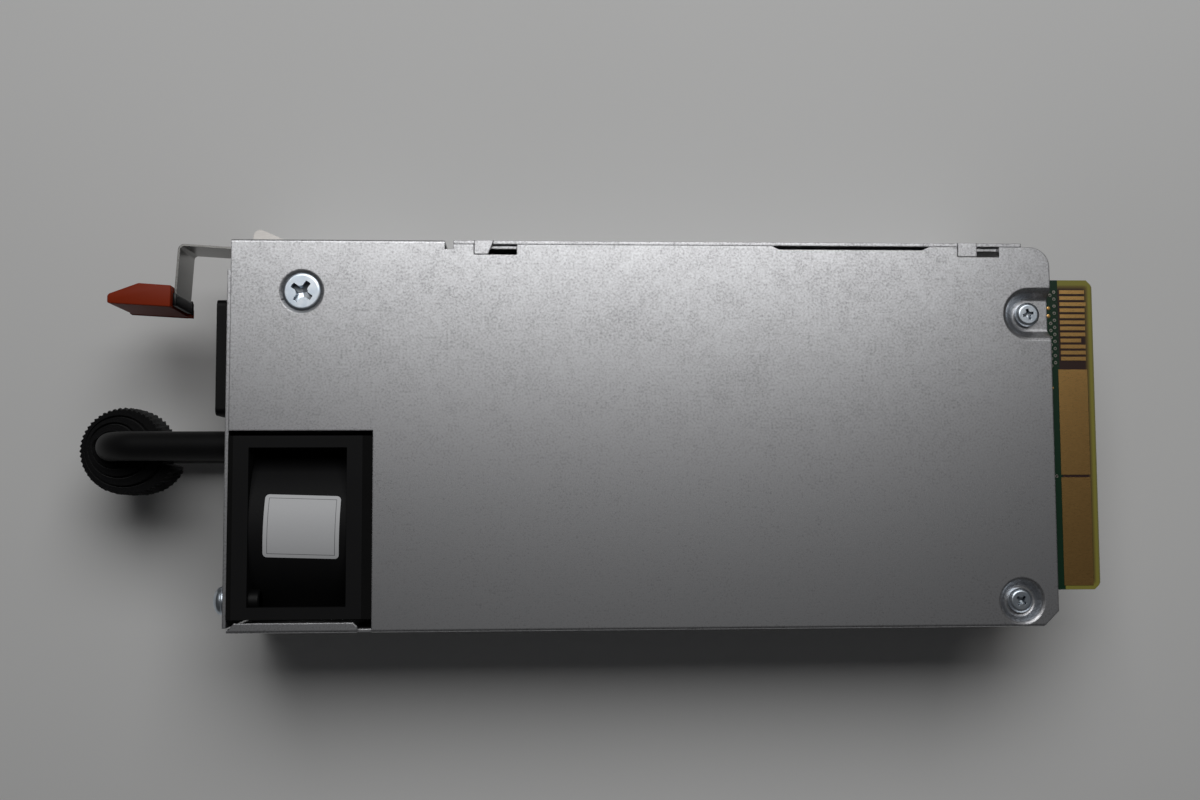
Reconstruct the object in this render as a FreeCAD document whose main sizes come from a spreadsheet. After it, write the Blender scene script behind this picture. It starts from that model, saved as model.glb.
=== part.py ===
"""Hot swap server power supply, 86 mm wide, lying on its cover.

Frame: millimetres, origin at the centre of the case's footprint on the cover face, +X towards the
card edge, +Y towards the latch side, +Z up to the chassis face.
"""
import FreeCAD, Part
import math
import os
import re
import Sketcher

from FreeCAD import Placement, Rotation, Vector

doc = FreeCAD.newDocument("server_power_supply")

# ---------------------------------------------------------------------------------------------
# Driving dimensions, in millimetres and degrees, grouped by sub-assembly.
SIZES = {
    # case
    "case_length": 183.0,
    "case_width": 86.0,
    "case_height": 40.0,
    "gauge": 0.8,
    "fold_gap": 0.1,
    "fold_round": 0.6,
    "edge_step": 0.4,
    "rib_height": 6.0,
    "corner_round": 4.5,
    "corner_cut": 3.4,
    "front_wall_length": 46.7,
    "relief_width": 1.8,
    "relief_depth": 2.0,
    "flange_depth": 27.0,
    "flange_setback": 6.3,
    "hook_slot_length": 9.5,
    "hook_slot_width": 2.3,
    "hook_slot_depth": 1.4,
    "hook_one_start": 53.1,
    "hook_two_setback": 21.0,
    "hook_length": 4.3,
    "hook_slant": 1.3,
    "joggle_gap": 6.5,
    "joggle_length": 35.8,
    "joggle_depth": 0.8,
    "lip_width": 2.2,
    "lip_setback": 3.0,
    # pressed pockets for the board screws, and the countersunk dimple
    "pocket_depth": 2.2,
    "pocket_offset": 4.9,
    "pocket_inset": 16.1,
    "pocket_half": 6.0,
    "pocket_floor_half": 3.3,
    "dish_offset": 8.2,
    "dish_inset": 5.7,
    "dish_half": 5.2,
    "dimple_offset": 15.4,
    "dimple_inset": 11.6,
    "dimple_half": 4.9,
    "dimple_depth": 2.3,
    # screws
    "board_screw_head": 5.4,
    "board_screw_height": 1.7,
    "board_screw_shank": 3.0,
    "board_screw_length": 6.0,
    "earth_screw_head": 8.2,
    "earth_screw_rise": 2.2,
    "earth_screw_shank": 4.0,
    "earth_screw_length": 7.0,
    "fan_screw_head": 6.6,
    "fan_screw_rise": 2.4,
    "fan_screw_shank": 3.4,
    "fan_screw_length": 7.0,
    "hole_gap": 0.2,
    "thread_gap": 0.03,
    # front plate
    "plate_top_inset": 6.7,
    "plate_bottom_inset": 1.1,
    "plate_margin": 0.4,
    # latch
    "latch_thick": 0.5,
    "latch_width": 13.0,
    "latch_inset": 12.0,
    "latch_gap": 0.1,
    "latch_root": 38.5,
    "latch_foot": 7.0,
    "latch_arm": 12.9,
    "latch_drop": 13.2,
    "latch_reach": 9.8,
    "latch_tilt": 3.6,
    "latch_bend": 1.4,
    "flex_gap": 0.3,
    "barb_width": 10.0,
    "barb_front": 3.3,
    "barb_rise": 3.5,
    "barb_shoulder": 1.5,
    "barb_length": 11.6,
    "window_gap": 1.6,
    "rivet_head": 3.6,
    "rivet_rise": 0.7,
    "rivet_spacing": 7.0,
    "tab_width": 18.0,
    "tab_length": 13.8,
    "tab_thick": 4.8,
    "tab_nose": 5.1,
    "tab_nose_rise": 2.6,
    "tab_wrap": 0.5,
    "tab_wrap_height": 2.7,
    "tab_round": 0.6,
    # handle and strap
    "bail_bar": 6.5,
    "bail_inset": 3.05,
    "bail_reach": 28.2,
    "bail_span": 26.0,
    "bail_bend": 7.0,
    "bail_tenon": 4.0,
    "strap_width": 12.0,
    "strap_half": 10.1,
    "strap_shift": 2.8,
    "strap_drop": 0.75,
    "strap_thick": 1.6,
    "strap_tail": 12.2,
    "strap_bore_gap": 0.3,
    "strap_rise": 1.0,
    # mains inlet
    "inlet_length": 26.3,
    "inlet_height": 20.2,
    "inlet_gap": 1.95,
    "inlet_proud": 4.4,
    "inlet_depth": 21.5,
    "inlet_round": 1.5,
    "rim_lap": 1.2,
    "rim_thick": 1.6,
    "boss": 7.0,
    "bridge_margin": 6.0,
    "socket_length": 24.3,
    "socket_height": 15.9,
    "socket_cut": 4.4,
    "socket_depth": 16.5,
    "pin_thick": 2.0,
    "pin_height": 4.0,
    "pin_length": 13.0,
    "pin_pitch": 7.0,
    "pin_offset": 2.0,
    "tag_length": 5.0,
    "lead_bore": 2.6,
    "lead_turn": 3.2,
    "lead_land": 5.0,
    "lens": 3.0,
    "lens_proud": 0.4,
    "lens_length": 9.0,
    # fan
    "fan_side_gap": 2.1,
    "fan_top_gap": 1.1,
    "fan_length": 28.0,
    "gasket": 1.0,
    "back_gasket": 2.2,
    "flange": 3.4,
    "fan_rim": 1.1,
    "duct_wall": 0.6,
    "post": 2.6,
    "fan_hole_inset": 3.9,
    "tip_gap": 0.5,
    "hub": 21.0,
    "hub_wall": 1.2,
    "hub_length": 19.0,
    "rotor_gap": 1.0,
    "motor_plate": 1.8,
    "strut": 1.6,
    "magnet": 0.9,
    "bearing_tube": 7.2,
    "bearing_ring": 5.2,
    "bearing_length": 3.0,
    "shaft": 3.0,
    "running_gap": 0.03,
    "stator": 14.6,
    "blade_thick": 1.0,
    "blade_sweep": 34.0,
    "blade_camber": 0.9,
    "grille_cell": 4.0,
    "grille_web": 1.0,
    "screen_cell": 5.0,
    "fan_lead": 2.4,
    "lead_level": 8.0,
    "plug_length": 5.0,
    "plug_width": 6.0,
    "plug_height": 6.0,
    # board
    "board_drop": 3.0,
    "board_thick": 2.4,
    "board_setback": 2.8,
    "board_gap": 0.2,
    "edge_inset": 5.2,
    "edge_reach": 11.1,
    "edge_cut": 1.5,
    "edge_bevel": 0.5,
    "contact_thick": 0.1,
    "finger_pitch": 1.39,
    "finger_width": 0.85,
    "finger_length": 5.8,
    "finger_setback": 2.0,
    "finger_inset": 2.3,
    "mate_first": 0.3,
    "mate_last": 1.0,
    "pad_length": 6.7,
    "pad_setback": 1.8,
    "pad_inset": 20.5,
    "pad_margin": 0.9,
    "pad_gap": 0.6,
    "pad_share": 0.496,
    "sheet_thick": 0.4,
    "spacer": 5.0,
    "nut": 5.5,
    "nut_height": 2.6,
    # parts on the board, whose places are for a row of this length and follow the real one
    "row_length": 149.0,
    "bulk_can": 25.4,
    "cover_clear": 3.8,
    "output_can": 8.0,
    "output_height": 16.0,
    "choke_ring": 22.0,
    "choke_height": 11.0,
    "boost_ring": 31.0,
    "boost_height": 14.0,
    "core_length": 31.0,
    "core_width": 30.0,
    "core_height": 27.0,
    "sink_height": 27.0,
    "sink_thick": 2.5,
    "sink_reach": 9.0,
    "sink_fin_pitch": 8.0,
    "sink_length": 38.0,
    "sink_start": 73.0,
    "chip_gap": 0.34,
    "chip_width": 8.0,
    "chip_thick": 4.4,
    "chip_height": 19.0,
    "can_edge": 0.8,
    "filter_start": 20.0,
    "filter_pitch": 24.0,
    "filter_inset": 12.3,
    "film_can": 9.0,
    "relay_length": 19.0,
    "relay_width": 15.5,
    "fuse": 5.2,
    "bulk_inset": 16.3,
    "bulk_start": 50.0,
    "boost_start": 20.0,
    "core_start": 105.5,
    "standby_start": 86.0,
    "standby_inset": 14.3,
    "output_start": 134.0,
    "bar_width": 12.0,
    "bar_thick": 2.0,
    "card_start": 108.0,
    "card_inset": 5.3,
    "card_length": 30.0,
    "card_height": 20.0,
}

# Sizes that follow from the driving ones, so that neighbours keep their places when one changes.
DERIVED = {
    # fan, and the bay that it fills from cover to face
    "fan_size": "case_height - 2*fold_gap",
    "fan_bore": "fan_size - 2*fan_rim",
    "duct": "fan_bore + 2*duct_wall",
    "fan_pitch": "fan_size - 2*fan_hole_inset",
    "rotor_tip": "fan_bore - 2*tip_gap",
    "bay_length": "gasket + fan_length + back_gasket",
    "lip_length": "bay_length - lip_setback",
    "bay_width": "gauge + fan_side_gap + fan_size + fan_top_gap",
    "fan_side": "case_width/2 - bay_width + fan_top_gap + fan_size/2",
    "bail_side": "case_width/2 - bay_width + bail_inset",
    # inlet, between the bay and the latch wall, and the lens under it
    "inlet_side": "bay_width - case_width/2 + gauge + inlet_gap + rim_lap + inlet_length/2",
    "lens_side": "inlet_side + inlet_length/2",
    "lens_level": "(case_height - inlet_height)/2 - rim_lap*1.6 - lens/2 - fold_gap",
    # edges of the case, taken in from its walls
    "hook_two_start": "case_length - hook_two_setback",
    "joggle_start": "hook_two_start - joggle_gap - joggle_length",
    "pocket_side": "case_width/2 - pocket_inset",
    "dish_side": "case_width/2 - dish_inset",
    "dimple_side": "case_width/2 - dimple_inset",
    "plate_top_side": "case_width/2 - plate_top_inset",
    "plate_bottom_side": "case_width/2 - plate_bottom_inset",
    "latch_middle": "case_height - latch_inset",
    "strap_middle": "case_height/2 + strap_rise",
    # board, its card edge and the rows of parts on it
    "board_start": "bay_length + board_setback",
    "board_half": "case_width/2 - 2*gauge - fold_gap - joggle_depth - board_gap",
    "edge_half": "board_half - edge_inset",
    "finger_top": "edge_half - finger_inset",
    "pad_one_top": "edge_half - pad_inset",
    "pad_room": "pad_one_top + edge_half - pad_margin - pad_gap",
    "pad_one_width": "pad_room*pad_share",
    "pad_two_width": "pad_room*(1 - pad_share)",
    "row_scale": "(case_length - board_start)/row_length",
    "bulk_height": "case_height - board_drop - board_thick - gauge - cover_clear",
    "filter_row": "board_half - filter_inset",
    "bulk_row": "board_half - bulk_inset",
    "standby_row": "board_half - standby_inset",
    "card_row": "board_half - card_inset",
    "sink_row": "filter_row - relay_width/2 - fuse*1.06 - chip_thick - chip_gap",
}

sheet = doc.addObject("Spreadsheet::Sheet", "Sizes")
cells = {alias: str(value) for alias, value in SIZES.items()}
cells.update((alias, "=" + text) for alias, text in DERIVED.items())
for row, (alias, text) in enumerate(cells.items(), start=1):
    sheet.set("A%d" % row, alias)
    sheet.set("B%d" % row, text)
    sheet.setAlias("B%d" % row, alias)
doc.recompute()

POINT_REACH = 1/math.sqrt(3)
ROW_RISE = math.sqrt(3)/2
BLADES = 7
STRUTS = 4
FINGERS = 12
OUTPUT_CANS = 8

# Places that several pieces share, as expressions of the driving dimensions.
FRONT = "(-case_length/2)"
REAR = "(case_length/2)"
LEFT = "(case_width/2)"
RIGHT = "(-case_width/2)"
ROOF = "(case_height - gauge)"
INNER_LEFT = "(case_width/2 - gauge)"
TRAY_EDGE = "(case_width/2 - gauge - fold_gap)"
BAY_TOP = "(-case_width/2 + bay_width)"
BAY_END = "(-case_length/2 + bay_length)"
BOARD_TOP = "(case_height - board_drop)"
BOARD_LOW = "(case_height - board_drop - board_thick)"
POCKET_FLOOR = "(case_height - pocket_depth)"
MIDDLE = "(case_height/2)"
LEAF_OUT = "(case_width/2 - gauge - latch_gap)"
LEAF_IN = "(case_width/2 - gauge - latch_gap - latch_thick)"
LATCH_LOW = "(latch_middle - latch_width/2)"
PIVOT_X = "(-case_length/2 + latch_root)"
FAN_FRONT = "(-case_length/2 + gasket)"
FAN_BACK = "(-case_length/2 + gasket + fan_length)"
FAN_Y = "(-fan_side)"


# ---------------------------------------------------------------------------------------------
# Helpers
def ref(text):
    """Point every dimension named in an expression at its cell."""
    return re.sub(r"[A-Za-z_]\w*", lambda word: "Sizes." + word.group() if word.group() in cells
                  else word.group(), str(text))


def size(alias):
    """Read one dimension from the sheet."""
    return float(sheet.get(alias))


def place(item, x="0", y="0", z="0"):
    """Bind the base point of an object's placement."""
    for axis, text in zip("xyz", (x, y, z)):
        item.setExpression("Placement.Base." + axis, ref(text))
    return item


def box(label, x, y, z):
    """Block between two expressions along each axis."""
    item = doc.addObject("Part::Box", label)
    for prop, (low, high) in zip(("Length", "Width", "Height"), (x, y, z)):
        item.setExpression(prop, ref("(%s) - (%s)" % (high, low)))
    return place(item, x[0], y[0], z[0])


def rod(label, axis, start, radius, length):
    """Cylinder from a start point along one axis."""
    item = doc.addObject("Part::Cylinder", label)
    item.setExpression("Radius", ref(radius))
    item.setExpression("Height", ref(length))
    turn = {"X": Rotation(Vector(0, 1, 0), 90), "Y": Rotation(Vector(1, 0, 0), -90), "Z": Rotation()}
    item.Placement = Placement(Vector(), turn[axis])
    return place(item, *start)


def fuse(label, shapes):
    """Union of several objects."""
    item = doc.addObject("Part::MultiFuse", label)
    item.Shapes = shapes
    return item


def cut(label, base, tools):
    """Base with the tools taken away."""
    item = doc.addObject("Part::Cut", label)
    item.Base = base
    item.Tool = tools[0] if len(tools) == 1 else fuse(label + "_tools", tools)
    return item


def group(label, shapes):
    """Separate solids that share one node."""
    item = doc.addObject("Part::Compound", label)
    item.Links = shapes
    return item


def new_body(label):
    """Empty PartDesign body."""
    return doc.addObject("PartDesign::Body", label)


def attach(body, sketch, plane, offset):
    """Put a sketch on one of its body's origin planes, shifted by an offset in the plane's axes."""
    role = plane + "_Plane"
    support = next(item for item in body.Origin.OriginFeatures if item.Role == role)
    sketch.AttachmentSupport = [(support, "")]
    sketch.MapMode = "FlatFace"
    for axis, text in zip("xyz", offset):
        sketch.setExpression("AttachmentOffset.Base." + axis, ref(text))


def datum(sketch, kind, *where, value=1.0, text="0"):
    """One dimension of a sketch, bound to an expression."""
    number = sketch.addConstraint(Sketcher.Constraint(kind, *where, value))
    sketch.setExpression("Constraints[%d]" % number, ref(text))


def outline(body, name, plane, corners, offset=("0", "0", "0")):
    """Closed polygon whose corners are pairs of expressions."""
    sketch = body.newObject("Sketcher::SketchObject", name)
    attach(body, sketch, plane, offset)
    count = len(corners)
    start = [Vector(math.cos(2*math.pi*i/count), math.sin(2*math.pi*i/count), 0) for i in range(count)]
    for i in range(count):
        sketch.addGeometry(Part.LineSegment(start[i], start[(i + 1) % count]), False)
    for i in range(count):
        sketch.addConstraint(Sketcher.Constraint("Coincident", i, 2, (i + 1) % count, 1))
    for i, (across, up) in enumerate(corners):
        datum(sketch, "DistanceX", i, 1, value=start[i].x, text=across)
        datum(sketch, "DistanceY", i, 1, value=start[i].y, text=up)
    return sketch


def circles(body, name, plane, holes, offset=("0", "0", "0")):
    """Sketch of circles, each given by its centre and radius as expressions."""
    sketch = body.newObject("Sketcher::SketchObject", name)
    attach(body, sketch, plane, offset)
    for i, (across, up, radius) in enumerate(holes):
        sketch.addGeometry(Part.Circle(Vector(3*i + 1, 1, 0), Vector(0, 0, 1), 1), False)
        datum(sketch, "DistanceX", i, 3, value=3*i + 1, text=across)
        datum(sketch, "DistanceY", i, 3, value=1, text=up)
        datum(sketch, "Radius", i, value=1, text=radius)
    return sketch


def rectangle(x, y):
    """Corners of a rectangle between two expressions along each axis."""
    return [(x[0], y[0]), (x[1], y[0]), (x[1], y[1]), (x[0], y[1])]


def pad(body, sketch, length, kind="Pad", reverse=False):
    """Pad or pocket a sketch along its plane's normal, or against it when reversed."""
    item = body.newObject("PartDesign::" + kind, sketch.Name + "_" + kind.lower())
    item.Profile = sketch
    item.setExpression("Length", ref(length))
    item.Reversed = reverse
    return item


def pocket(body, sketch, length):
    """Cut a sketch along its plane's normal."""
    return pad(body, sketch, length, kind="Pocket", reverse=True)


def revolve(body, name, centre, profile, kind="Revolution"):
    """Turn a profile of (radius, height) pairs about an upright axis through centre."""
    offset = (centre[0], "0", "-(%s)" % centre[1])
    sketch = outline(body, name, "XZ", profile, offset)
    item = body.newObject("PartDesign::" + kind, name + "_turned")
    item.Profile = sketch
    item.ReferenceAxis = (sketch, ["V_Axis"])
    item.Angle = 360.0
    return item


def soften(body, name, base, test, radius, kind="Fillet"):
    """Fillet or chamfer the edges of the base that pass a test on their end points."""
    doc.recompute()
    chosen = []
    for number, edge in enumerate(base.Shape.Edges, start=1):
        ends = [vertex.Point for vertex in edge.Vertexes]
        if len(ends) == 2 and all(test(point) for point in ends):
            chosen.append("Edge%d" % number)
    item = body.newObject("PartDesign::" + kind, name)
    item.Base = (base, chosen)
    item.setExpression("Radius" if kind == "Fillet" else "Size", ref(radius))
    return item


def near(value, target):
    """True where two lengths agree."""
    return abs(value - target) < 0.01


# ---------------------------------------------------------------------------------------------
# Case
BOARD_SCREWS = {
    "pocket": ("(case_length/2 - pocket_offset)", "pocket_side", "pocket_half"),
    "dish": ("(case_length/2 - dish_offset)", "(-dish_side)", "dish_half"),
}
DRAWN = ((0.0, 0.0), (0.18, 0.08), (0.36, 0.32), (0.56, 0.64), (0.76, 0.87), (1.0, 1.0))
DIMPLE = ("(-case_length/2 + dimple_offset)", "dimple_side")
RIVETS = ["(latch_middle - rivet_spacing/2)", "(latch_middle + rivet_spacing/2)"]
RIVET_X = "(-case_length/2 + latch_root + latch_foot/2)"
HOOKS = {"hook_one": ("hook_one_start", "hook_slant"), "hook_two": ("hook_two_start", "0")}


def tray_outline():
    """Corners of the chassis face, from the fan bay round to the latch side."""
    notch = FRONT + " + front_wall_length"
    notch_end = notch + " + relief_width"
    jog = FRONT + " + joggle_start"
    jog_end = jog + " + joggle_length"
    jog_edge = TRAY_EDGE + " - joggle_depth"
    return [
        (FRONT, BAY_TOP), (BAY_END, BAY_TOP), (BAY_END, RIGHT), (REAR + " - corner_cut", RIGHT),
        (REAR, RIGHT + " + corner_cut"), (REAR, TRAY_EDGE), (jog_end, TRAY_EDGE),
        (jog_end + " - 2*joggle_depth", jog_edge), (jog + " + 2*joggle_depth", jog_edge),
        (jog, TRAY_EDGE), (notch_end, TRAY_EDGE), (notch_end, LEFT + " - relief_depth"),
        (notch, LEFT + " - relief_depth"), (notch, LEFT), (FRONT, LEFT)]


def drawn_wall(half, floor_half, depth):
    """Points of a drawn pocket's wall, from its floor up: an S between two soft bends."""
    return [("%s + (%s - %s)*%s" % (floor_half, half, floor_half, share),
             "case_height - (%s)*%s" % (depth, 1 - rise)) for share, rise in DRAWN]


def press_skin(body, name, centre, half, floor_half, depth):
    """Sheet that a round pocket pushes down under the face."""
    under = "case_height - %s - gauge" % depth
    revolve(body, name + "_skin", centre,
            [("0", under), (floor_half + " + gauge/2", under), (half + " + gauge/2", ROOF), ("0", ROOF)])


def press_hollow(body, name, centre, wall):
    """Hollow of a round pocket, whose wall is a row of (radius, height) pairs."""
    over = "case_height + gauge"
    revolve(body, name + "_hollow", centre,
            [("0", wall[0][1])] + wall + [(wall[-1][0], over), ("0", over)], kind="Groove")


def pocket_channel(body, name, wall):
    """Channel that carries the round pocket out to the rear edge, with the same wall on each side."""
    corners = [("pocket_side - (%s)" % out, level) for out, level in reversed(wall)]
    corners += [("pocket_side + %s" % out, level) for out, level in wall]
    return outline(body, name, "YZ", corners, ("0", "0", BOARD_SCREWS["pocket"][0]))


def chassis_tray():
    """Chassis: face, walls, fan bay with its lip, pressed pockets, hook slots and latch window."""
    body = new_body("chassis_tray")
    face = pad(body, outline(body, "face", "XY", tray_outline(), ("0", "0", ROOF)), "gauge")
    doc.recompute()
    edge = size("case_width")/2 - size("gauge") - size("fold_gap")
    soften(body, "rear_corner", face, lambda p: near(p.x, size("case_length")/2) and near(p.y, edge),
           "corner_round")
    # side walls, the inner flange behind the cover and the lip over the fan
    foot = "gauge + fold_gap"
    wall_height = "case_height - 2*gauge - fold_gap"
    notch = FRONT + " + front_wall_length"
    pad(body, outline(body, "front_wall", "XY", rectangle((FRONT, notch), (INNER_LEFT, LEFT)),
                      ("0", "0", foot)), wall_height)
    pad(body, outline(body, "right_wall", "XY",
                      rectangle((FRONT, REAR + " - corner_cut"), (RIGHT, RIGHT + " + gauge")),
                      ("0", "0", foot)), wall_height)
    jog = FRONT + " + joggle_start"
    jog_end = jog + " + joggle_length"
    flange = [(notch + " + relief_width", TRAY_EDGE), (jog, TRAY_EDGE),
              (jog + " + 2*joggle_depth", TRAY_EDGE + " - joggle_depth"),
              (jog_end + " - 2*joggle_depth", TRAY_EDGE + " - joggle_depth"), (jog_end, TRAY_EDGE),
              (REAR + " - flange_setback", TRAY_EDGE)]
    flange += [(across, up + " - gauge") for across, up in reversed(flange)]
    pad(body, outline(body, "flange_run", "XY", flange, ("0", "0", ROOF + " - flange_depth")),
        "flange_depth")
    lip = [(FRONT, RIGHT), (FRONT + " + lip_length", RIGHT),
           (FRONT + " + lip_length", RIGHT + " + lip_width*0.6"),
           (FRONT + " + lip_length - lip_width*0.4", RIGHT + " + lip_width"),
           (FRONT + " + lip_width*0.8", RIGHT + " + lip_width")]
    pad(body, outline(body, "lip", "XY", lip, ("0", "0", ROOF)), "gauge")
    # pressed pockets of the board screws and the countersunk dimple of the earth screw
    skin = [("pocket_floor_half + gauge/2", POCKET_FLOOR + " - gauge"), ("pocket_half + gauge/2", ROOF)]
    pad(body, pocket_channel(body, "channel_skin", skin), "pocket_offset")
    for name, (across, up, half) in BOARD_SCREWS.items():
        press_skin(body, name, (across, up), half, "pocket_floor_half", "pocket_depth")
    for name, (across, up, half) in BOARD_SCREWS.items():
        press_hollow(body, name, (across, up), drawn_wall(half, "pocket_floor_half", "pocket_depth"))
    channel = drawn_wall("pocket_half", "pocket_floor_half", "pocket_depth")
    pocket(body, pocket_channel(body, "channel", channel), "pocket_offset")
    bore = "(earth_screw_shank/2 + hole_gap)"
    press_skin(body, "dimple", DIMPLE, "dimple_half", bore, "dimple_depth")
    press_hollow(body, "dimple", DIMPLE,
                 [(bore, "case_height - dimple_depth"), ("dimple_half", "case_height")])
    trim = rectangle((REAR, REAR + " + pocket_half"), (RIGHT, LEFT))
    pocket(body, outline(body, "trim", "XY", trim, ("0", "0", POCKET_FLOOR + " - gauge")),
           "pocket_depth + gauge")
    screw_holes = [(across, up, "board_screw_shank/2 + hole_gap")
                   for across, up, half in BOARD_SCREWS.values()]
    pocket(body, circles(body, "screw_holes", "XY", screw_holes, ("0", "0", POCKET_FLOOR + " - gauge")),
           "gauge")
    pocket(body, circles(body, "earth_hole", "XY", [DIMPLE + ("earth_screw_shank/2 + hole_gap",)],
                         ("0", "0", "case_height - dimple_depth - gauge")), "gauge")
    # slots for the cover's hooks, open to the edge
    for name, (start, slant) in HOOKS.items():
        low = "%s + %s" % (FRONT, start)
        slot = rectangle((low, low + " + hook_slot_length"), (TRAY_EDGE + " - hook_slot_width", LEFT))
        pocket(body, outline(body, name + "_slot", "XY", slot,
                             ("0", "0", "case_height - hook_slot_depth")), "hook_slot_depth")
    # window for the latch barb and the rivet holes of its spring
    window = rectangle((FRONT + " + barb_front - window_gap",
                        FRONT + " + barb_front + barb_length + window_gap"),
                       ("latch_middle - barb_width/2 - window_gap/2",
                        "latch_middle + barb_width/2 + window_gap/2"))
    wall_plane = ("0", "0", "-" + INNER_LEFT)
    pad(body, outline(body, "window", "XZ", window, wall_plane), "gauge", kind="Pocket")
    holes = [(RIVET_X, level, "rivet_head/4 + thread_gap") for level in RIVETS]
    pad(body, circles(body, "rivet_holes", "XZ", holes, wall_plane), "gauge", kind="Pocket")
    return body


def round_bend(label, side, level):
    """Round the long outer bend of a folded sheet body."""
    body = doc.getObject(label)
    doc.recompute()
    soften(body, label + "_bend_%s" % ("left" if side > 0 else "right"), body.Tip,
           lambda p: near(p.y, side*size("case_width")/2) and near(p.z, level), "fold_round")


def cover_lid():
    """Cover: face with the fan bay, the side flange, its two hooks and an inner rib."""
    body = new_body("cover_lid")
    corners = [(FRONT, BAY_TOP), (BAY_END, BAY_TOP), (BAY_END, RIGHT), (REAR + " - corner_cut", RIGHT),
               (REAR, RIGHT + " + corner_cut"), (REAR, LEFT), (FRONT, LEFT)]
    face = pad(body, outline(body, "cover_face", "XY", corners), "gauge")
    soften(body, "cover_corner", face,
           lambda p: near(p.x, size("case_length")/2) and near(p.y, size("case_width")/2), "corner_round")
    start = FRONT + " + front_wall_length + relief_width"
    end = REAR + " - flange_setback"
    pad(body, outline(body, "cover_flange", "XY", rectangle((start, end), (INNER_LEFT, LEFT)),
                      ("0", "0", "gauge")), "case_height - gauge - edge_step")
    rib = RIGHT + " + gauge + fold_gap"
    pad(body, outline(body, "cover_rib", "XY",
                      rectangle((BAY_END + " + corner_cut", REAR + " - 3*corner_cut"),
                                (rib, rib + " + gauge")), ("0", "0", "gauge")), "rib_height")
    for name, (slot, slant) in HOOKS.items():
        low = "%s + %s + fold_gap" % (FRONT, slot)
        high = low + " + hook_length"
        inner = TRAY_EDGE + " - hook_slot_width + fold_gap"
        hook = [(low, LEFT), (low, inner), ("%s - %s" % (high, slant), inner), (high, LEFT)]
        pad(body, outline(body, name + "_tab", "XY", hook, ("0", "0", ROOF)), "gauge")
    return body


def grille(name, centre, cell, start, inside):
    """Staggered hexagonal prisms through a sheet, at every place that passes a test."""
    across, up = centre
    pitch = size(cell) + size("grille_web")
    count = int(size("case_width")/pitch)
    prisms = []
    for row in range(-count, count + 1):
        for column in range(-count, count + 1):
            step = column + 0.5*(row % 2)
            if inside(step*pitch, row*pitch*ROW_RISE):
                prism = doc.addObject("Part::Prism", name + "_cell")
                prism.Polygon = 6
                prism.setExpression("Circumradius", ref("%s*%.6f" % (cell, POINT_REACH)))
                prism.setExpression("Height", ref("gauge"))
                prism.Placement = Placement(Vector(), Rotation(Vector(0, 1, 0), Vector(0, 0, 1),
                                                               Vector(1, 0, 0), "ZXY"))
                spacing = "(%s + grille_web)" % cell
                place(prism, start, "%s + %s*%s" % (across, step, spacing),
                      "%s + %d*%.6f*%s" % (up, row, ROW_RISE, spacing))
                prisms.append(prism)
    return prisms


def bail_levels():
    """Heights of the two bars of the bail."""
    return {"near": "(case_height/2 + bail_span/2)", "far": "(case_height/2 - bail_span/2)"}


def front_plate():
    """Front plate: inlet opening, hexagonal fan grille, tenon, screw and lens holes."""
    body = new_body("front_panel")
    plane = ("0", "0", FRONT + " - gauge")
    corners = rectangle(("-plate_bottom_side", "plate_top_side"),
                        ("plate_margin", "case_height - plate_margin"))
    pad(body, outline(body, "panel", "YZ", corners, plane), "gauge")
    gap = "hole_gap"
    opening = rectangle(("inlet_side - inlet_length/2 - %s" % gap, "inlet_side + inlet_length/2 + %s" % gap),
                        ("%s - %s" % (INLET_LOW, gap), "%s + %s" % (INLET_HIGH, gap)))
    pocket(body, outline(body, "inlet_opening", "YZ", opening, plane), "gauge")
    holes = [("-bail_side", level, "bail_tenon/2 + thread_gap") for level in bail_levels().values()]
    holes += [(FAN_Y + " - fan_pitch/2", "%s %s fan_pitch/2" % (MIDDLE, sign),
               "fan_screw_shank/2 + hole_gap") for sign in "+-"]
    holes.append(("lens_side", "lens_level", "lens/2 + hole_gap"))
    pocket(body, circles(body, "panel_holes", "YZ", holes, plane), "gauge")
    reach = size("fan_bore")/2 - size("grille_cell")/2
    air = grille("grille", (FAN_Y, MIDDLE), "grille_cell", FRONT + " - gauge",
                 lambda y, z: math.hypot(y, z) < reach)
    return cut("front_plate", body, air)


def rear_grille():
    """Rear vent panel under the card edge, with a foot on the cover."""
    top = BOARD_LOW + " - fold_gap"
    inset = "(flange_setback - corner_cut)"
    panel = box("rear_sheet", (REAR + " - gauge - fold_gap", REAR + " - fold_gap"),
                (RIGHT + " + corner_cut + gauge", LEFT + " - corner_round - gauge"), ("gauge", top))
    foot = box("rear_foot", (REAR + " - fold_gap - 3*" + inset, REAR + " - fold_gap"),
               (RIGHT + " + corner_cut + gauge", LEFT + " - corner_round - gauge"),
               ("gauge", "2*gauge"))
    half_y = size("case_width")/2 - size("corner_round") - 2*size("screen_cell")
    half_z = (size("case_height") - size("board_drop"))/2 - 1.3*size("screen_cell")
    air = grille("screen", ("0", "(case_height - board_drop - board_thick)/2"), "screen_cell",
                 REAR + " - gauge - fold_gap", lambda y, z: abs(y) < half_y and abs(z) < half_z)
    return cut("rear_grille", fuse("rear_blank", [panel, foot]), air)


# ---------------------------------------------------------------------------------------------
# Screws and nuts
def pan_screw(label, centre):
    """Pan-head screw standing on the floor of a pressed pocket."""
    body = new_body(label)
    head = "board_screw_head/2"
    revolve(body, label + "_form", centre,
            [("0", POCKET_FLOOR + " - board_screw_length"),
             ("board_screw_shank/2", POCKET_FLOOR + " - board_screw_length"),
             ("board_screw_shank/2", POCKET_FLOOR), (head, POCKET_FLOOR),
             (head, POCKET_FLOOR + " + board_screw_height*0.55"),
             (head + " - board_screw_height*0.3", POCKET_FLOOR + " + board_screw_height*0.92"),
             (head + " - board_screw_height*0.75", POCKET_FLOOR + " + board_screw_height"),
             ("0", POCKET_FLOOR + " + board_screw_height")])
    return body


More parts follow.
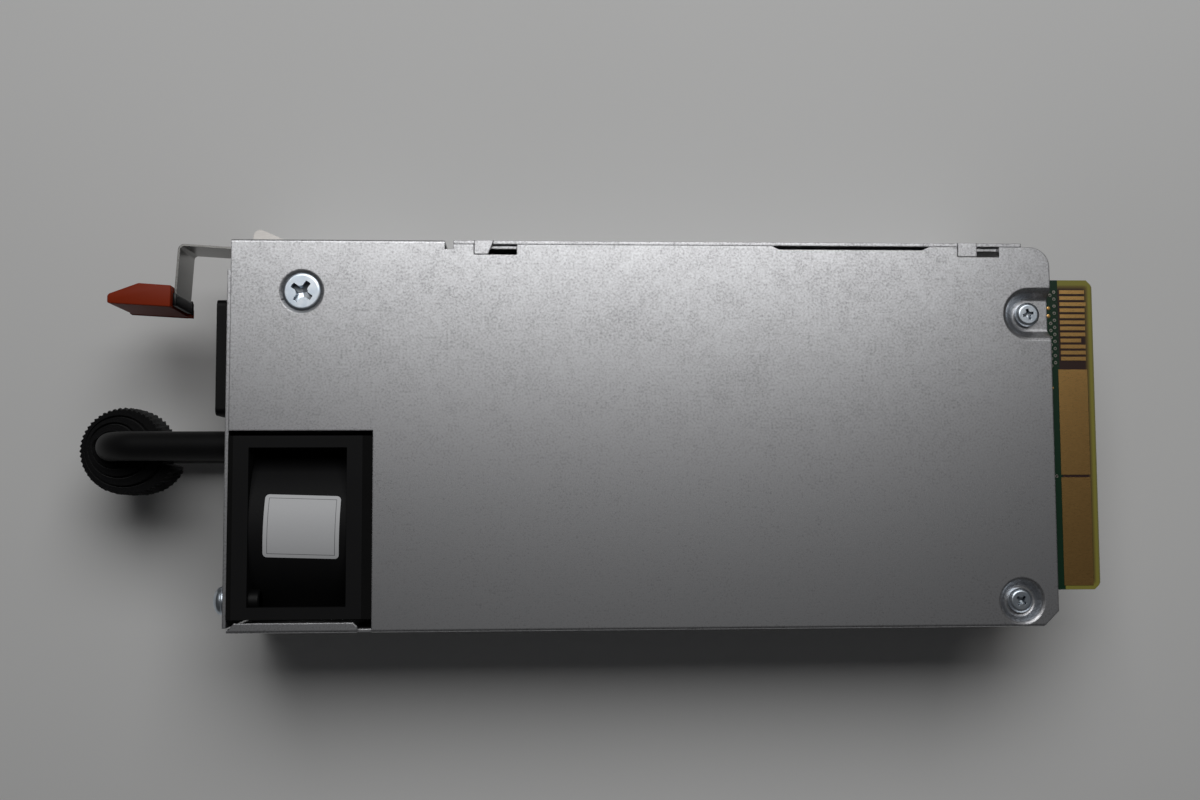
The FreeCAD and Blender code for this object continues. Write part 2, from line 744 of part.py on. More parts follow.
def board_screws():
    """The two screws that clamp the board to the pressed pockets."""
    return group("board_screws", [pan_screw(name + "_screw", centre[:2])
                                  for name, centre in BOARD_SCREWS.items()])


def board_nuts():
    """Clinch nuts on the component side of the board."""
    nuts = []
    for name, (across, up, half) in BOARD_SCREWS.items():
        blank = doc.addObject("Part::Prism", name + "_nut_blank")
        blank.Polygon = 6
        blank.setExpression("Circumradius", ref("nut*%.6f" % POINT_REACH))
        blank.setExpression("Height", ref("nut_height"))
        place(blank, across, up, BOARD_LOW + " - nut_height")
        bore = rod(name + "_nut_bore", "Z", (across, up, BOARD_LOW + " - nut_height"),
                   "board_screw_shank/2 + thread_gap", "nut_height")
        nuts.append(cut(name + "_nut", blank, [bore]))
    return group("board_nuts", nuts)


def earth_screw():
    """Countersunk screw in the dimple of the chassis face."""
    body = new_body("earth_screw")
    top = "case_height - fold_gap"
    seat = top + " - earth_screw_rise"
    revolve(body, "earth_screw_form", DIMPLE,
            [("0", top + " - earth_screw_length"), ("earth_screw_shank/2", top + " - earth_screw_length"),
             ("earth_screw_shank/2", seat), ("earth_screw_head/2", top + " - fold_gap"),
             ("earth_screw_head/2", top), ("0", top)])
    return body


def fan_screws():
    """Pan-head screws through the front plate into the fan's flange."""
    screws = []
    for sign in "+-":
        y = FAN_Y + " - fan_pitch/2"
        z = "%s %s fan_pitch/2" % (MIDDLE, sign)
        name = "upper" if sign == "+" else "lower"
        shank = rod(name + "_fan_shank", "X", (FRONT + " - gauge", y, z), "fan_screw_shank/2",
                    "fan_screw_length")
        rim = rod(name + "_fan_rim", "X", (FRONT + " - gauge - fan_screw_rise*0.45", y, z),
                  "fan_screw_head/2", "fan_screw_rise*0.45")
        dome = doc.addObject("Part::Cone", name + "_fan_dome")
        dome.setExpression("Radius1", ref("fan_screw_head/2"))
        dome.setExpression("Radius2", ref("fan_screw_head/4"))
        dome.setExpression("Height", ref("fan_screw_rise*0.55"))
        dome.Placement = Placement(Vector(), Rotation(Vector(0, 1, 0), -90))
        place(dome, FRONT + " - gauge - fan_screw_rise*0.45", y, z)
        screws.append(fuse(name + "_fan_screw", [shank, rim, dome]))
    return group("fan_screws", screws)


# ---------------------------------------------------------------------------------------------
# Latch
def tilted(along, down):
    """Point of the latch's outer end, measured from its bend along the arm and down the leg."""
    arm = "(latch_arm + %s)" % along
    return ("%s - %s*cos(latch_tilt) - (%s)*sin(latch_tilt)" % (FRONT, arm, down),
            "%s + %s*sin(latch_tilt) - (%s)*cos(latch_tilt)" % (LEAF_OUT, arm, down))


def latch_leaf():
    """Free arm of the latch spring: along the wall, out of the case and bent down to the tab."""
    body = new_body("latch_leaf")
    root = PIVOT_X + " - flex_gap/2"
    corners = [(root, LEAF_OUT), (FRONT, LEAF_OUT), tilted("0", "0"), tilted("0", "latch_drop"),
               tilted("-latch_thick", "latch_drop"), tilted("-latch_thick", "latch_thick"),
               (FRONT, LEAF_IN), (root, LEAF_IN)]
    strip = pad(body, outline(body, "leaf", "XY", corners, ("0", "0", LATCH_LOW)), "latch_width")
    doc.recompute()
    tilt = math.radians(size("latch_tilt"))
    out = size("case_width")/2 - size("gauge") - size("latch_gap")
    bend = Vector(-size("case_length")/2 - size("latch_arm")*math.cos(tilt),
                  out + size("latch_arm")*math.sin(tilt), 0)
    thick = size("latch_thick")
    inner = bend + Vector(thick*math.cos(tilt) - thick*math.sin(tilt),
                          -thick*math.sin(tilt) - thick*math.cos(tilt), 0)
    outer_bend = soften(body, "outer_bend", strip,
                        lambda p: math.hypot(p.x - bend.x, p.y - bend.y) < 0.01, "latch_bend")
    soften(body, "inner_bend", outer_bend,
           lambda p: math.hypot(p.x - inner.x, p.y - inner.y) < 0.01, "latch_bend - latch_thick")
    return body


def latch_foot():
    """Root of the latch spring, riveted to the wall; the strip flexes at its front edge."""
    low = PIVOT_X + " + flex_gap/2"
    blank = box("latch_foot_blank", (low, PIVOT_X + " + latch_foot"), (LEAF_IN, LEAF_OUT),
                (LATCH_LOW, LATCH_LOW + " + latch_width"))
    holes = [rod("foot_hole", "Y", (RIVET_X, LEAF_IN, level), "rivet_head/4 + thread_gap",
                 "latch_thick") for level in RIVETS]
    return cut("latch_foot", blank, holes)


def latch_rivets():
    """Rivets of the latch foot: flush outside, headed inside the case."""
    rivets = []
    for number, level in enumerate(RIVETS, start=1):
        shank = rod("rivet_shank_%d" % number, "Y", (RIVET_X, LEAF_IN, level), "rivet_head/4",
                    "latch_thick + latch_gap + gauge")
        head = rod("rivet_head_%d" % number, "Y", (RIVET_X, LEAF_IN + " - rivet_rise", level),
                   "rivet_head/2", "rivet_rise")
        rivets.append(fuse("rivet_%d" % number, [shank, head]))
    return group("latch_rivets", rivets)


def latch_barb():
    """Wedge on the leaf that stands out of the wall: steep in front, a long ramp behind."""
    body = new_body("latch_barb")
    front = FRONT + " + barb_front"
    top = LEFT + " + barb_rise"
    corners = [(front, LEAF_OUT), (front + " + barb_length", LEAF_OUT),
               (front + " + 1.9*barb_shoulder", top + " - barb_shoulder/3"),
               (front + " + barb_shoulder", top), (front + " + barb_shoulder/3", top + " - barb_shoulder/3"),
               (front, top + " - barb_shoulder")]
    pad(body, outline(body, "wedge", "XY", corners, ("0", "0", "latch_middle - barb_width/2")),
        "barb_width")
    return body


def latch_tab():
    """Moulded release tab, gripping the end of the leaf."""
    body = new_body("latch_tab")
    top = "latch_reach"
    end = "latch_reach + tab_thick"
    wrap = end + " - tab_wrap_height"
    profile = [tilted("0", top), tilted("tab_length - tab_nose", top),
               tilted("tab_length", top + " + tab_nose_rise"), tilted("tab_length", end),
               tilted("-latch_thick - tab_wrap", end), tilted("-latch_thick - tab_wrap", wrap),
               tilted("0", wrap)]
    block = pad(body, outline(body, "tab", "XY", profile, ("0", "0", "latch_middle - tab_width/2")),
                "tab_width")
    doc.recompute()
    tilt = math.radians(size("latch_tilt"))
    left = -size("case_length")/2 - (size("latch_arm") + size("tab_length")/2)*math.cos(tilt)
    soften(body, "tab_edges", block, lambda p: p.x < left, "tab_round")
    slot = [tilted("0", wrap), tilted("0", "latch_drop"), tilted("-latch_thick", "latch_drop"),
            tilted("-latch_thick", wrap)]
    pocket(body, outline(body, "tab_slot", "XY", slot, ("0", "0", LATCH_LOW)), "latch_width")
    return body


# ---------------------------------------------------------------------------------------------
# Handle and cable strap
BAIL_X = "(-case_length/2 - gauge - bail_reach)"


def elbow(label, centre, bend, tube, start, end):
    """Quarter turn of a round bar about a centre, from one axis direction to another."""
    item = doc.addObject("Part::Torus", label)
    item.setExpression("Radius1", ref(bend))
    item.setExpression("Radius2", ref(tube))
    item.Angle3 = 90
    item.Placement = Placement(Vector(), Rotation(start, end, start.cross(end), "XYZ"))
    return place(item, *centre)


def handle_bail():
    """Round bar bent into a loop, with a staked tenon at each end."""
    bar = "bail_bar/2"
    turn = BAIL_X + " + bail_bend"
    straight = "bail_reach - bail_bend"
    pieces = []
    for name, level in bail_levels().items():
        pieces.append(rod("bail_%s" % name, "X", (turn, "-bail_side", level), bar, straight))
        pieces.append(rod("tenon_%s" % name, "X", (FRONT + " - gauge", "-bail_side", level),
                          "bail_tenon/2", "gauge"))
        pieces.append(rod("stake_%s" % name, "X", (FRONT, "-bail_side", level), "bail_tenon*0.7",
                          "gasket/2"))
    levels = bail_levels()
    pieces.append(elbow("elbow_near", (turn, "-bail_side", levels["near"] + " - bail_bend"), "bail_bend",
                        bar, Vector(0, 0, 1), Vector(-1, 0, 0)))
    pieces.append(elbow("elbow_far", (turn, "-bail_side", levels["far"] + " + bail_bend"), "bail_bend",
                        bar, Vector(-1, 0, 0), Vector(0, 0, -1)))
    pieces.append(rod("bail_leg", "Z", (BAIL_X, "-bail_side", levels["far"] + " + bail_bend"), bar,
                      "bail_span - 2*bail_bend"))
    return fuse("handle_bail", pieces)


def cable_strap():
    """Closed form of the strap rolled round the leg of the bail, with its lifted free end."""
    body = new_body("cable_strap")
    across = BAIL_X + " + strap_shift"
    up = "-bail_side - strap_drop"
    plane = ("0", "0", "strap_middle - strap_width/2")
    pad(body, circles(body, "roll", "XY", [(across, up, "strap_half")], plane), "strap_width")
    tail = [polar(across, up, "strap_half*0.95", -70), polar(across, up, "strap_half*1.06", -45),
            polar(across, up, "strap_tail", -17), polar(across, up, "strap_tail - strap_thick", -12),
            polar(across, up, "strap_half*0.9", -14)]
    pad(body, outline(body, "tail", "XY", tail, plane), "strap_width")
    bore = [(BAIL_X, "-bail_side", "bail_bar/2 + strap_bore_gap")]
    pocket(body, circles(body, "strap_bore", "XY", bore, plane), "strap_width")
    return body


def polar(across, up, radius, degrees):
    """Point at a radius and an angle about a centre."""
    turn = math.radians(degrees)
    return ("%s + (%s)*%.4f" % (across, radius, math.cos(turn)),
            "%s + (%s)*%.4f" % (up, radius, math.sin(turn)))


# ---------------------------------------------------------------------------------------------
# Mains inlet
INLET_FRONT = "(-case_length/2 - gauge - inlet_proud)"
INLET_BACK = "(-case_length/2 - gauge - inlet_proud + inlet_depth)"
INLET_LOW = "(case_height/2 - inlet_height/2)"
INLET_HIGH = "(case_height/2 + inlet_height/2)"
SOCKET_FLOOR = "(-case_length/2 - gauge - inlet_proud + socket_depth)"
PINS = {
    "live": ("(inlet_side - pin_pitch)", "(case_height/2 + pin_offset)"),
    "neutral": ("(inlet_side + pin_pitch)", "(case_height/2 + pin_offset)"),
    "earth": ("inlet_side", "(case_height/2 - pin_offset)"),
}


def inlet_housing():
    """Moulded C14 housing: rounded body, rear rim, shaped socket and three blade slots."""
    body = new_body("inlet_housing")
    outer = rectangle(("inlet_side - inlet_length/2", "inlet_side + inlet_length/2"),
                      (INLET_LOW, INLET_HIGH))
    shell = pad(body, outline(body, "shell", "YZ", outer, ("0", "0", INLET_FRONT)), "inlet_depth")
    doc.recompute()
    front = -size("case_length")/2 - size("gauge") - size("inlet_proud")
    span = (front, front + size("inlet_depth"))
    chosen = ["Edge%d" % number for number, edge in enumerate(shell.Shape.Edges, start=1)
              if near(abs(edge.Vertexes[0].X - edge.Vertexes[1].X), span[1] - span[0])]
    rounds = body.newObject("PartDesign::Fillet", "housing_rounds")
    rounds.Base = (shell, chosen)
    rounds.setExpression("Radius", ref("inlet_round"))
    rim = rectangle(("inlet_side - inlet_length/2 - rim_lap", "inlet_side + inlet_length/2 + rim_lap"),
                    (INLET_LOW + " - rim_lap", INLET_HIGH + " + rim_lap"))
    pad(body, outline(body, "rim", "YZ", rim, ("0", "0", FRONT)), "rim_thick")
    low_y, high_y = "inlet_side - socket_length/2", "inlet_side + socket_length/2"
    low_z, high_z = MIDDLE + " - socket_height/2", MIDDLE + " + socket_height/2"
    socket = [(low_y, low_z + " + socket_cut"), (low_y + " + socket_cut", low_z),
              (high_y + " - socket_cut", low_z), (high_y, low_z + " + socket_cut"),
              (high_y, high_z), (low_y, high_z)]
    pocket(body, outline(body, "socket", "YZ", socket, ("0", "0", INLET_FRONT)), "socket_depth")
    for name, (y, z) in PINS.items():
        slot = rectangle((y + " - pin_thick/2", y + " + pin_thick/2"),
                         (z + " - pin_height/2", z + " + pin_height/2"))
        pocket(body, outline(body, name + "_slot", "YZ", slot, ("0", "0", SOCKET_FLOOR)),
               "inlet_depth - socket_depth")
    return body


def inlet_pins():
    """The three blades of the inlet, with a tag behind the housing for each lead."""
    blades = []
    for name, (y, z) in PINS.items():
        blades.append(box(name + "_pin", (SOCKET_FLOOR + " - pin_length", INLET_BACK + " + tag_length"),
                          (y + " - pin_thick/2", y + " + pin_thick/2"),
                          (z + " - pin_height/2", z + " + pin_height/2")))
    return group("inlet_pins", blades)


def inlet_leads():
    """Insulated leads from the inlet's tags, bent up to the board."""
    leads = []
    for name, (y, z) in PINS.items():
        start = INLET_BACK + " + tag_length"
        turn = "lead_turn"
        straight = "(%s + board_start + lead_land - %s) - (%s)" % (FRONT, turn, start)
        bend = FRONT + " + board_start + lead_land - " + turn
        run = rod(name + "_run", "X", (start, y, z), "lead_bore/2", straight)
        curve = elbow(name + "_curve", (bend, y, "%s + %s" % (z, turn)), turn, "lead_bore/2",
                      Vector(0, 0, -1), Vector(1, 0, 0))
        rise = rod(name + "_rise", "Z", (bend + " + " + turn, y, "%s + %s" % (z, turn)), "lead_bore/2",
                   "%s - (%s + %s)" % (BOARD_LOW, z, turn))
        leads.append(fuse(name + "_lead", [run, curve, rise]))
    return group("inlet_leads", leads)


def inlet_bracket():
    """Steel bridge over the inlet with the tapped boss that takes the earth screw."""
    low = INLET_HIGH + " + rim_lap + hole_gap"
    plate = box("bridge_plate", (FRONT + " + rim_thick", FRONT + " + dimple_offset + bridge_margin"),
                ("inlet_side - bridge_margin", "dimple_side + boss/2"), (low, low + " + gauge"))
    boss = rod("bridge_boss", "Z", DIMPLE + (low,), "boss/2",
               "case_height - dimple_depth - gauge - (%s)" % low)
    bore = rod("bridge_bore", "Z", DIMPLE + (low,), "earth_screw_shank/2 + thread_gap",
               "case_height - dimple_depth - gauge - (%s)" % low)
    return cut("inlet_bracket", fuse("bridge_blank", [plate, boss]), [bore])


def status_lens():
    """Clear light pipe behind the front plate, with a collar that seats on the plate."""
    start = FRONT + " - gauge - lens_proud"
    pipe = rod("lens_pipe", "X", (start, "lens_side", "lens_level"), "lens/2", "lens_length")
    collar = rod("lens_collar", "X", (FRONT, "lens_side", "lens_level"), "lens/2 + rim_lap*0.6",
                 "rim_thick")
    return fuse("status_lens", [pipe, collar])


# ---------------------------------------------------------------------------------------------
# Fan
HUB_BACK = "(-case_length/2 + gasket + fan_length - rotor_gap - strut)"
HUB_FRONT = "(-case_length/2 + gasket + fan_length - rotor_gap - strut - hub_length)"
TUBE_FRONT = "(-case_length/2 + gasket + motor_plate)"
TUBE_LENGTH = "(fan_length - motor_plate - rotor_gap*2 - strut - hub_wall)"
FAN_AXIS = (FAN_Y, MIDDLE)


def square_bar(label, start, length, side):
    """Square block centred on the fan's axis."""
    return box(label, (start, "%s + %s" % (start, length)),
               ("%s - %s/2" % (FAN_Y, side), "%s + %s/2" % (FAN_Y, side)),
               ("%s - %s/2" % (MIDDLE, side), "%s + %s/2" % (MIDDLE, side)))


def axial(label, start, length, radius):
    """Cylinder on the fan's axis."""
    return rod(label, "X", (start,) + FAN_AXIS, radius, length)


def fan_frame():
    """Fan housing: flanges, duct, corner posts, motor plate on its struts and bearing tube."""
    blank = square_bar("frame_blank", FAN_FRONT, "fan_length", "fan_size")
    waist = square_bar("waist", FAN_FRONT + " + flange", "fan_length - 2*flange", "fan_size")
    duct = axial("duct_wall", FAN_FRONT + " + flange", "fan_length - 2*flange", "duct/2")
    posts = []
    for side_y in "+-":
        for side_z in "+-":
            y = "(%s %s (fan_size - post)/2)" % (FAN_Y, side_y)
            z = "(%s %s (fan_size - post)/2)" % (MIDDLE, side_z)
            posts.append(box("corner_post", (FAN_FRONT + " + flange", FAN_BACK + " - flange"),
                             (y + " - post/2", y + " + post/2"), (z + " - post/2", z + " + post/2")))
    recess = cut("waist_recess", waist, [duct] + posts)
    bore = axial("air_bore", FAN_FRONT, "fan_length", "fan_bore/2")
    holes = []
    for side_y in "+-":
        for side_z in "+-":
            centre = ("%s %s fan_pitch/2" % (FAN_Y, side_y), "%s %s fan_pitch/2" % (MIDDLE, side_z))
            holes.append(rod("flange_hole", "X", (FAN_FRONT,) + centre,
                             "fan_screw_shank/2 + thread_gap", "fan_length"))
    shell = cut("frame_shell", blank, [recess, bore] + holes)
    plate = axial("motor_disc", FAN_FRONT, "motor_plate", "hub/2")
    tube = axial("bearing_tube", FAN_FRONT, "motor_plate + %s" % TUBE_LENGTH, "bearing_tube/2")
    struts = []
    for number in range(STRUTS):
        arm = box("strut_%d" % number, (FAN_FRONT, FAN_FRONT + " + motor_plate"), ("0", "fan_bore/2"),
                  ("-strut/2", "strut/2"))
        arm.Placement = Placement(Vector(), Rotation(Vector(1, 0, 0), 45 + 360.0*number/STRUTS))
        turn = math.radians(45 + 360.0*number/STRUTS)
        place(arm, FAN_FRONT, "%s + strut/2*%.4f" % (FAN_Y, math.sin(turn)),
              "%s - strut/2*%.4f" % (MIDDLE, math.cos(turn)))
        struts.append(arm)
    hollow = axial("bearing_bore", FAN_FRONT + " + motor_plate", TUBE_LENGTH, "bearing_ring/2")
    return cut("fan_frame", fuse("frame_blocks", [shell, plate, tube] + struts), [hollow])


def blade(number):
    """One twisted, cambered blade, lofted from a flat section in the hub's wall to one at its tip."""
    back = -size("case_length")/2 + size("gasket") + size("fan_length") - size("rotor_gap")
    back -= size("strut") + size("hub_wall")
    chord = size("hub_length") - 2*size("hub_wall")
    tip_sweep = math.radians(size("blade_sweep"))
    tip_radius = size("rotor_tip")/2*math.cos(tip_sweep/2)
    sections = []
    for radius, sweep in ((size("hub")/2 - size("hub_wall"), 1.25*tip_sweep), (tip_radius, tip_sweep)):
        half = radius*math.tan(sweep/2)
        points = []
        for side, steps in ((1, (0, 1, 2, 3)), (-1, (3, 2, 1, 0))):
            for share in (step/3.0 for step in steps):
                bow = size("blade_camber")*4*share*(1 - share)
                across = half*(2*share - 1) + bow + side*size("blade_thick")/2
                points.append(Vector(back - chord*share, across, radius))
        sections.append(Part.makePolygon(points + [points[0]]))
    shape = Part.makeLoft(sections, True, True)
    shape.rotate(Vector(), Vector(1, 0, 0), 360.0*number/BLADES)
    shape.translate(Vector(0, -size("fan_side"), size("case_height")/2))
    return shape


def fan_rotor():
    """Impeller: hub cup with its boss and the blades, one moulding."""
    cup = axial("hub_cup", HUB_FRONT, "hub_length", "hub/2")
    hollow = axial("hub_hollow", HUB_FRONT, "hub_length - hub_wall", "hub/2 - hub_wall")
    boss = axial("hub_boss", HUB_BACK + " - hub_wall - rotor_gap*0.7", "rotor_gap*0.7 + hub_wall",
                 "bearing_tube/2")
    bore = axial("boss_bore", HUB_BACK + " - hub_wall - rotor_gap*0.7", "rotor_gap*0.7 + hub_wall/2",
                 "shaft/2")
    hub = cut("hub_form", fuse("hub_blocks", [cut("cup_shell", cup, [hollow]), boss]), [bore])
    blades = doc.addObject("Part::Feature", "blade_ring")
    blades.Shape = Part.makeCompound([blade(number) for number in range(BLADES)])
    return fuse("fan_rotor", [hub, blades])


def fan_motor():
    """Shaft, magnet ring, stator and bearings of the fan's motor."""
    shaft_end = HUB_BACK + " - hub_wall/2"
    reach = TUBE_FRONT + " + rotor_gap"
    shaft = axial("fan_shaft", reach, "%s - (%s)" % (shaft_end, reach), "shaft/2")
    ring_start = HUB_FRONT + " + rotor_gap"
    ring_length = "hub_length - hub_wall - 3*rotor_gap"
    magnet = cut("fan_magnet", axial("magnet_blank", ring_start, ring_length, "hub/2 - hub_wall"),
                 [axial("magnet_bore", ring_start, ring_length, "hub/2 - hub_wall - magnet")])
    stator = cut("fan_stator", axial("stator_blank", ring_start, ring_length, "stator/2"),
                 [axial("stator_bore", ring_start, ring_length, "bearing_tube/2 + thread_gap")])
    bearings = []
    for name, start in (("front", TUBE_FRONT), ("back", TUBE_FRONT + " + %s - bearing_length" % TUBE_LENGTH)):
        outer = axial(name + "_race", start, "bearing_length", "bearing_ring/2")
        inner = axial(name + "_race_bore", start, "bearing_length", "shaft/2 + running_gap")
        bearings.append(cut(name + "_bearing", outer, [inner]))
    return [shaft, magnet, stator, group("fan_bearings", bearings)]


def fan_gaskets():
    """Foam gaskets between the front plate, the fan and its bulkhead."""
    front = square_bar("front_foam", FRONT, "gasket", "fan_size")
    holes = [axial("front_foam_bore", FRONT, "gasket", "fan_bore/2")]
    for level in bail_levels().values():
        holes.append(rod("stake_pocket", "X", (FRONT, "-bail_side", level), "bail_tenon*0.7 + hole_gap",
                         "gasket"))
    for sign in "+-":
        centre = (FAN_Y + " - fan_pitch/2", "%s %s fan_pitch/2" % (MIDDLE, sign))
        holes.append(rod("foam_hole", "X", (FRONT,) + centre, "fan_screw_shank/2 + hole_gap", "gasket"))
    back = square_bar("back_foam", FAN_BACK, "%s - %s" % (BAY_END, FAN_BACK), "fan_size")
    bore = axial("back_foam_bore", FAN_BACK, "%s - %s" % (BAY_END, FAN_BACK), "fan_bore/2")
    return group("fan_gaskets", [cut("front_gasket", front, holes), cut("back_gasket", back, [bore])])


def fan_bulkhead():
    """Bent partition that closes the case beside and behind the fan, with its air hole."""
    side = box("bulkhead_side", (FRONT + " + fold_gap", BAY_END + " + gauge"),
               (BAY_TOP, BAY_TOP + " + gauge"), ("gauge + fold_gap", ROOF))
    back = box("bulkhead_back", (BAY_END, BAY_END + " + gauge"),
               (RIGHT + " + gauge + fold_gap", BAY_TOP + " + gauge"), ("gauge + fold_gap", ROOF))
    air = axial("bulkhead_air", BAY_END, "gauge", "fan_bore/2")
    lead_hole = rod("bulkhead_lead_hole", "Y", (LEAD_X, BAY_TOP, "lead_level"), "fan_lead/2 + hole_gap",
                    "gauge")
    return cut("fan_bulkhead", fuse("bulkhead_blank", [side, back]), [air, lead_hole])


LEAD_X = "(-case_length/2 + gasket + fan_length - flange/2)"
LEAD_Y = "(-case_width/2 + bay_width + gauge + lead_turn + hole_gap)"
PLUG_X = "(-case_length/2 + board_start + lead_land)"


def fan_lead():
    """Sleeved lead of the fan: out of the frame's side, along the case and up to its plug."""
    face = "(%s + fan_size/2)" % FAN_Y
    turn = "lead_turn"
    corner = "(%s - %s)" % (LEAD_Y, turn)
    out = rod("lead_out", "Y", (LEAD_X, face, "lead_level"), "fan_lead/2", "%s - %s" % (corner, face))
    first = elbow("lead_first", (LEAD_X + " + " + turn, corner, "lead_level"), turn, "fan_lead/2",
                  Vector(-1, 0, 0), Vector(0, 1, 0))
    along = rod("lead_along", "X", (LEAD_X + " + " + turn, LEAD_Y, "lead_level"), "fan_lead/2",
                "%s - %s - (%s + %s)" % (PLUG_X, turn, LEAD_X, turn))
    second = elbow("lead_second", (PLUG_X + " - " + turn, LEAD_Y, "lead_level + " + turn), turn,
                   "fan_lead/2", Vector(0, 0, -1), Vector(1, 0, 0))
    rise = rod("lead_rise", "Z", (PLUG_X, LEAD_Y, "lead_level + " + turn), "fan_lead/2",
               "%s - plug_height - (lead_level + %s)" % (BOARD_LOW, turn))
    return fuse("fan_lead", [out, first, along, second, rise])


def fan_plug():
    """Four-way plug of the fan's lead, seated on the board."""
    return box("fan_plug", (PLUG_X + " - plug_length/2", PLUG_X + " + plug_length/2"),
               (LEAD_Y + " - plug_width/2", LEAD_Y + " + plug_width/2"),
               (BOARD_LOW + " - plug_height", BOARD_LOW))


# ---------------------------------------------------------------------------------------------
# Board, its edge connector and the parts it carries
BOARD_START = "(-case_length/2 + board_start)"
EDGE_END = "(case_length/2 + edge_reach)"
SPACERS = [("%s + %s" % (FRONT, distance), "%s(board_half - 1.5*spacer)" % sign)
           for distance in ("board_start + 2.5*spacer", "hook_two_start - 2*spacer") for sign in ("", "-")]


def main_board():
    """Main circuit board with its chamfered and bevelled card edge."""
    body = new_body("main_board")
    shoulder = REAR + " - corner_cut - fold_round*2"
    half = [(BOARD_START, "board_half"), (shoulder, "board_half"), (shoulder, "edge_half"),
            (EDGE_END + " - edge_cut", "edge_half"), (EDGE_END, "edge_half - edge_cut")]
    corners = half + [(across, "-(%s)" % up) for across, up in reversed(half)]
    board = pad(body, outline(body, "board", "XY", corners, ("0", "0", BOARD_LOW)), "board_thick")
    end = size("case_length")/2 + size("edge_reach")
    bevel = soften(body, "card_bevel", board, lambda p: near(p.x, end), "edge_bevel", kind="Chamfer")
    faces = [item for item in bevel.Base[1]
             if not near(board.Shape.getElement(item).Vertexes[0].Z,
                         board.Shape.getElement(item).Vertexes[1].Z)]
    bevel.Base = (board, [item for item in bevel.Base[1] if item not in faces])
    holes = [(across, up, "board_screw_shank/2 + hole_gap") for across, up, half in BOARD_SCREWS.values()]
    pocket(body, circles(body, "board_holes", "XY", holes, ("0", "0", BOARD_LOW)), "board_thick")
    return body


def edge_contacts():
    """Signal fingers and power pads on both faces of the card edge."""
    plates = []
    reach = {2: "finger_length + mate_first", 8: "finger_length - mate_last"}
    for face, low in (("top", BOARD_TOP), ("low", BOARD_LOW + " - contact_thick")):
        level = (low, low + " + contact_thick")
        for number in range(FINGERS):
            top = "finger_top - %d*finger_pitch" % number
            root = EDGE_END + " - finger_setback - finger_length"
            end = "%s + %s" % (root, reach.get(number, "finger_length"))
            plates.append(box("%s_finger_%d" % (face, number), (root, end),
                              (top + " - finger_width", top), level))
        end = EDGE_END + " - pad_setback"
        pads = (("pad_one_top", "pad_one_width"), ("pad_one_top - pad_one_width - pad_gap", "pad_two_width"))
        for number, (top, width) in enumerate(pads):
            plates.append(box("%s_pad_%d" % (face, number), (end + " - pad_length", end),
                              ("%s - %s" % (top, width), top), level))
    return group("edge_contacts", plates)


def insulator_sheet():
    """Insulating film between the board and the chassis face."""
    film = box("film", (BOARD_START + " + spacer", REAR + " - pocket_offset - 2*pocket_half"),
               ("-board_half + spacer/2", "board_half - spacer/2"), (ROOF + " - sheet_thick", ROOF))
    holes = [rod("film_hole", "Z", (across, up, ROOF + " - sheet_thick"), "spacer/2 + hole_gap",
                 "sheet_thick") for across, up in SPACERS]
    return cut("insulator_sheet", film, holes)


def board_spacers():
    """Spacers between the board and the chassis face."""
    return group("board_spacers", [rod("spacer_%d" % number, "Z", (across, up, BOARD_TOP), "spacer/2",
                                       "%s - %s" % (ROOF, BOARD_TOP))
                                   for number, (across, up) in enumerate(SPACERS, start=1)])


def hanging(label, across, up, length, width, height):
    """Block that stands on the component side of the board, centred on a point."""
    half = "(%s)*row_scale/2" % length
    return box(label, ("%s - %s" % (across, half), "%s + %s" % (across, half)),
               ("%s - %s/2" % (up, width), "%s + %s/2" % (up, width)),
               ("%s - %s" % (BOARD_LOW, height), BOARD_LOW))


def can(label, across, up, width, height):
    """Capacitor can with a rolled edge at its far end."""
    body = new_body(label)
    low = "%s - %s" % (BOARD_LOW, height)
    edge = "%s*row_scale/2" % width
    revolve(body, label + "_form", (across, up),
            [("0", low), (edge + " - can_edge", low), (edge, low + " + can_edge"),
             (edge, BOARD_LOW + " - 2*can_edge"), (edge + " - can_edge/2", BOARD_LOW + " - 1.5*can_edge"),
             (edge, BOARD_LOW + " - can_edge"), (edge, BOARD_LOW), ("0", BOARD_LOW)])
    return body


def ring(label, across, up, outer, inner, low, height):
    """Ring with bevelled rims about an upright axis."""
    body = new_body(label)
    bevel = "(%s - %s)*row_scale/8" % (outer, inner)
    high = "%s + %s" % (low, height)
    inside, outside = "%s*row_scale/2" % inner, "%s*row_scale/2" % outer
    revolve(body, label + "_form", (across, up),
            [(inside, "%s + %s" % (low, bevel)), ("%s + %s" % (inside, bevel), low),
             ("%s - %s" % (outside, bevel), low), (outside, "%s + %s" % (low, bevel)),
             (outside, "%s - %s" % (high, bevel)), ("%s - %s" % (outside, bevel), high),
             ("%s + %s" % (inside, bevel), high), (inside, "%s - %s" % (high, bevel))])
    return body


def along(distance):
    """Place along the board, from its front edge, in step with the board's length."""
    return "(%s + (%s)*row_scale)" % (BOARD_START, distance)


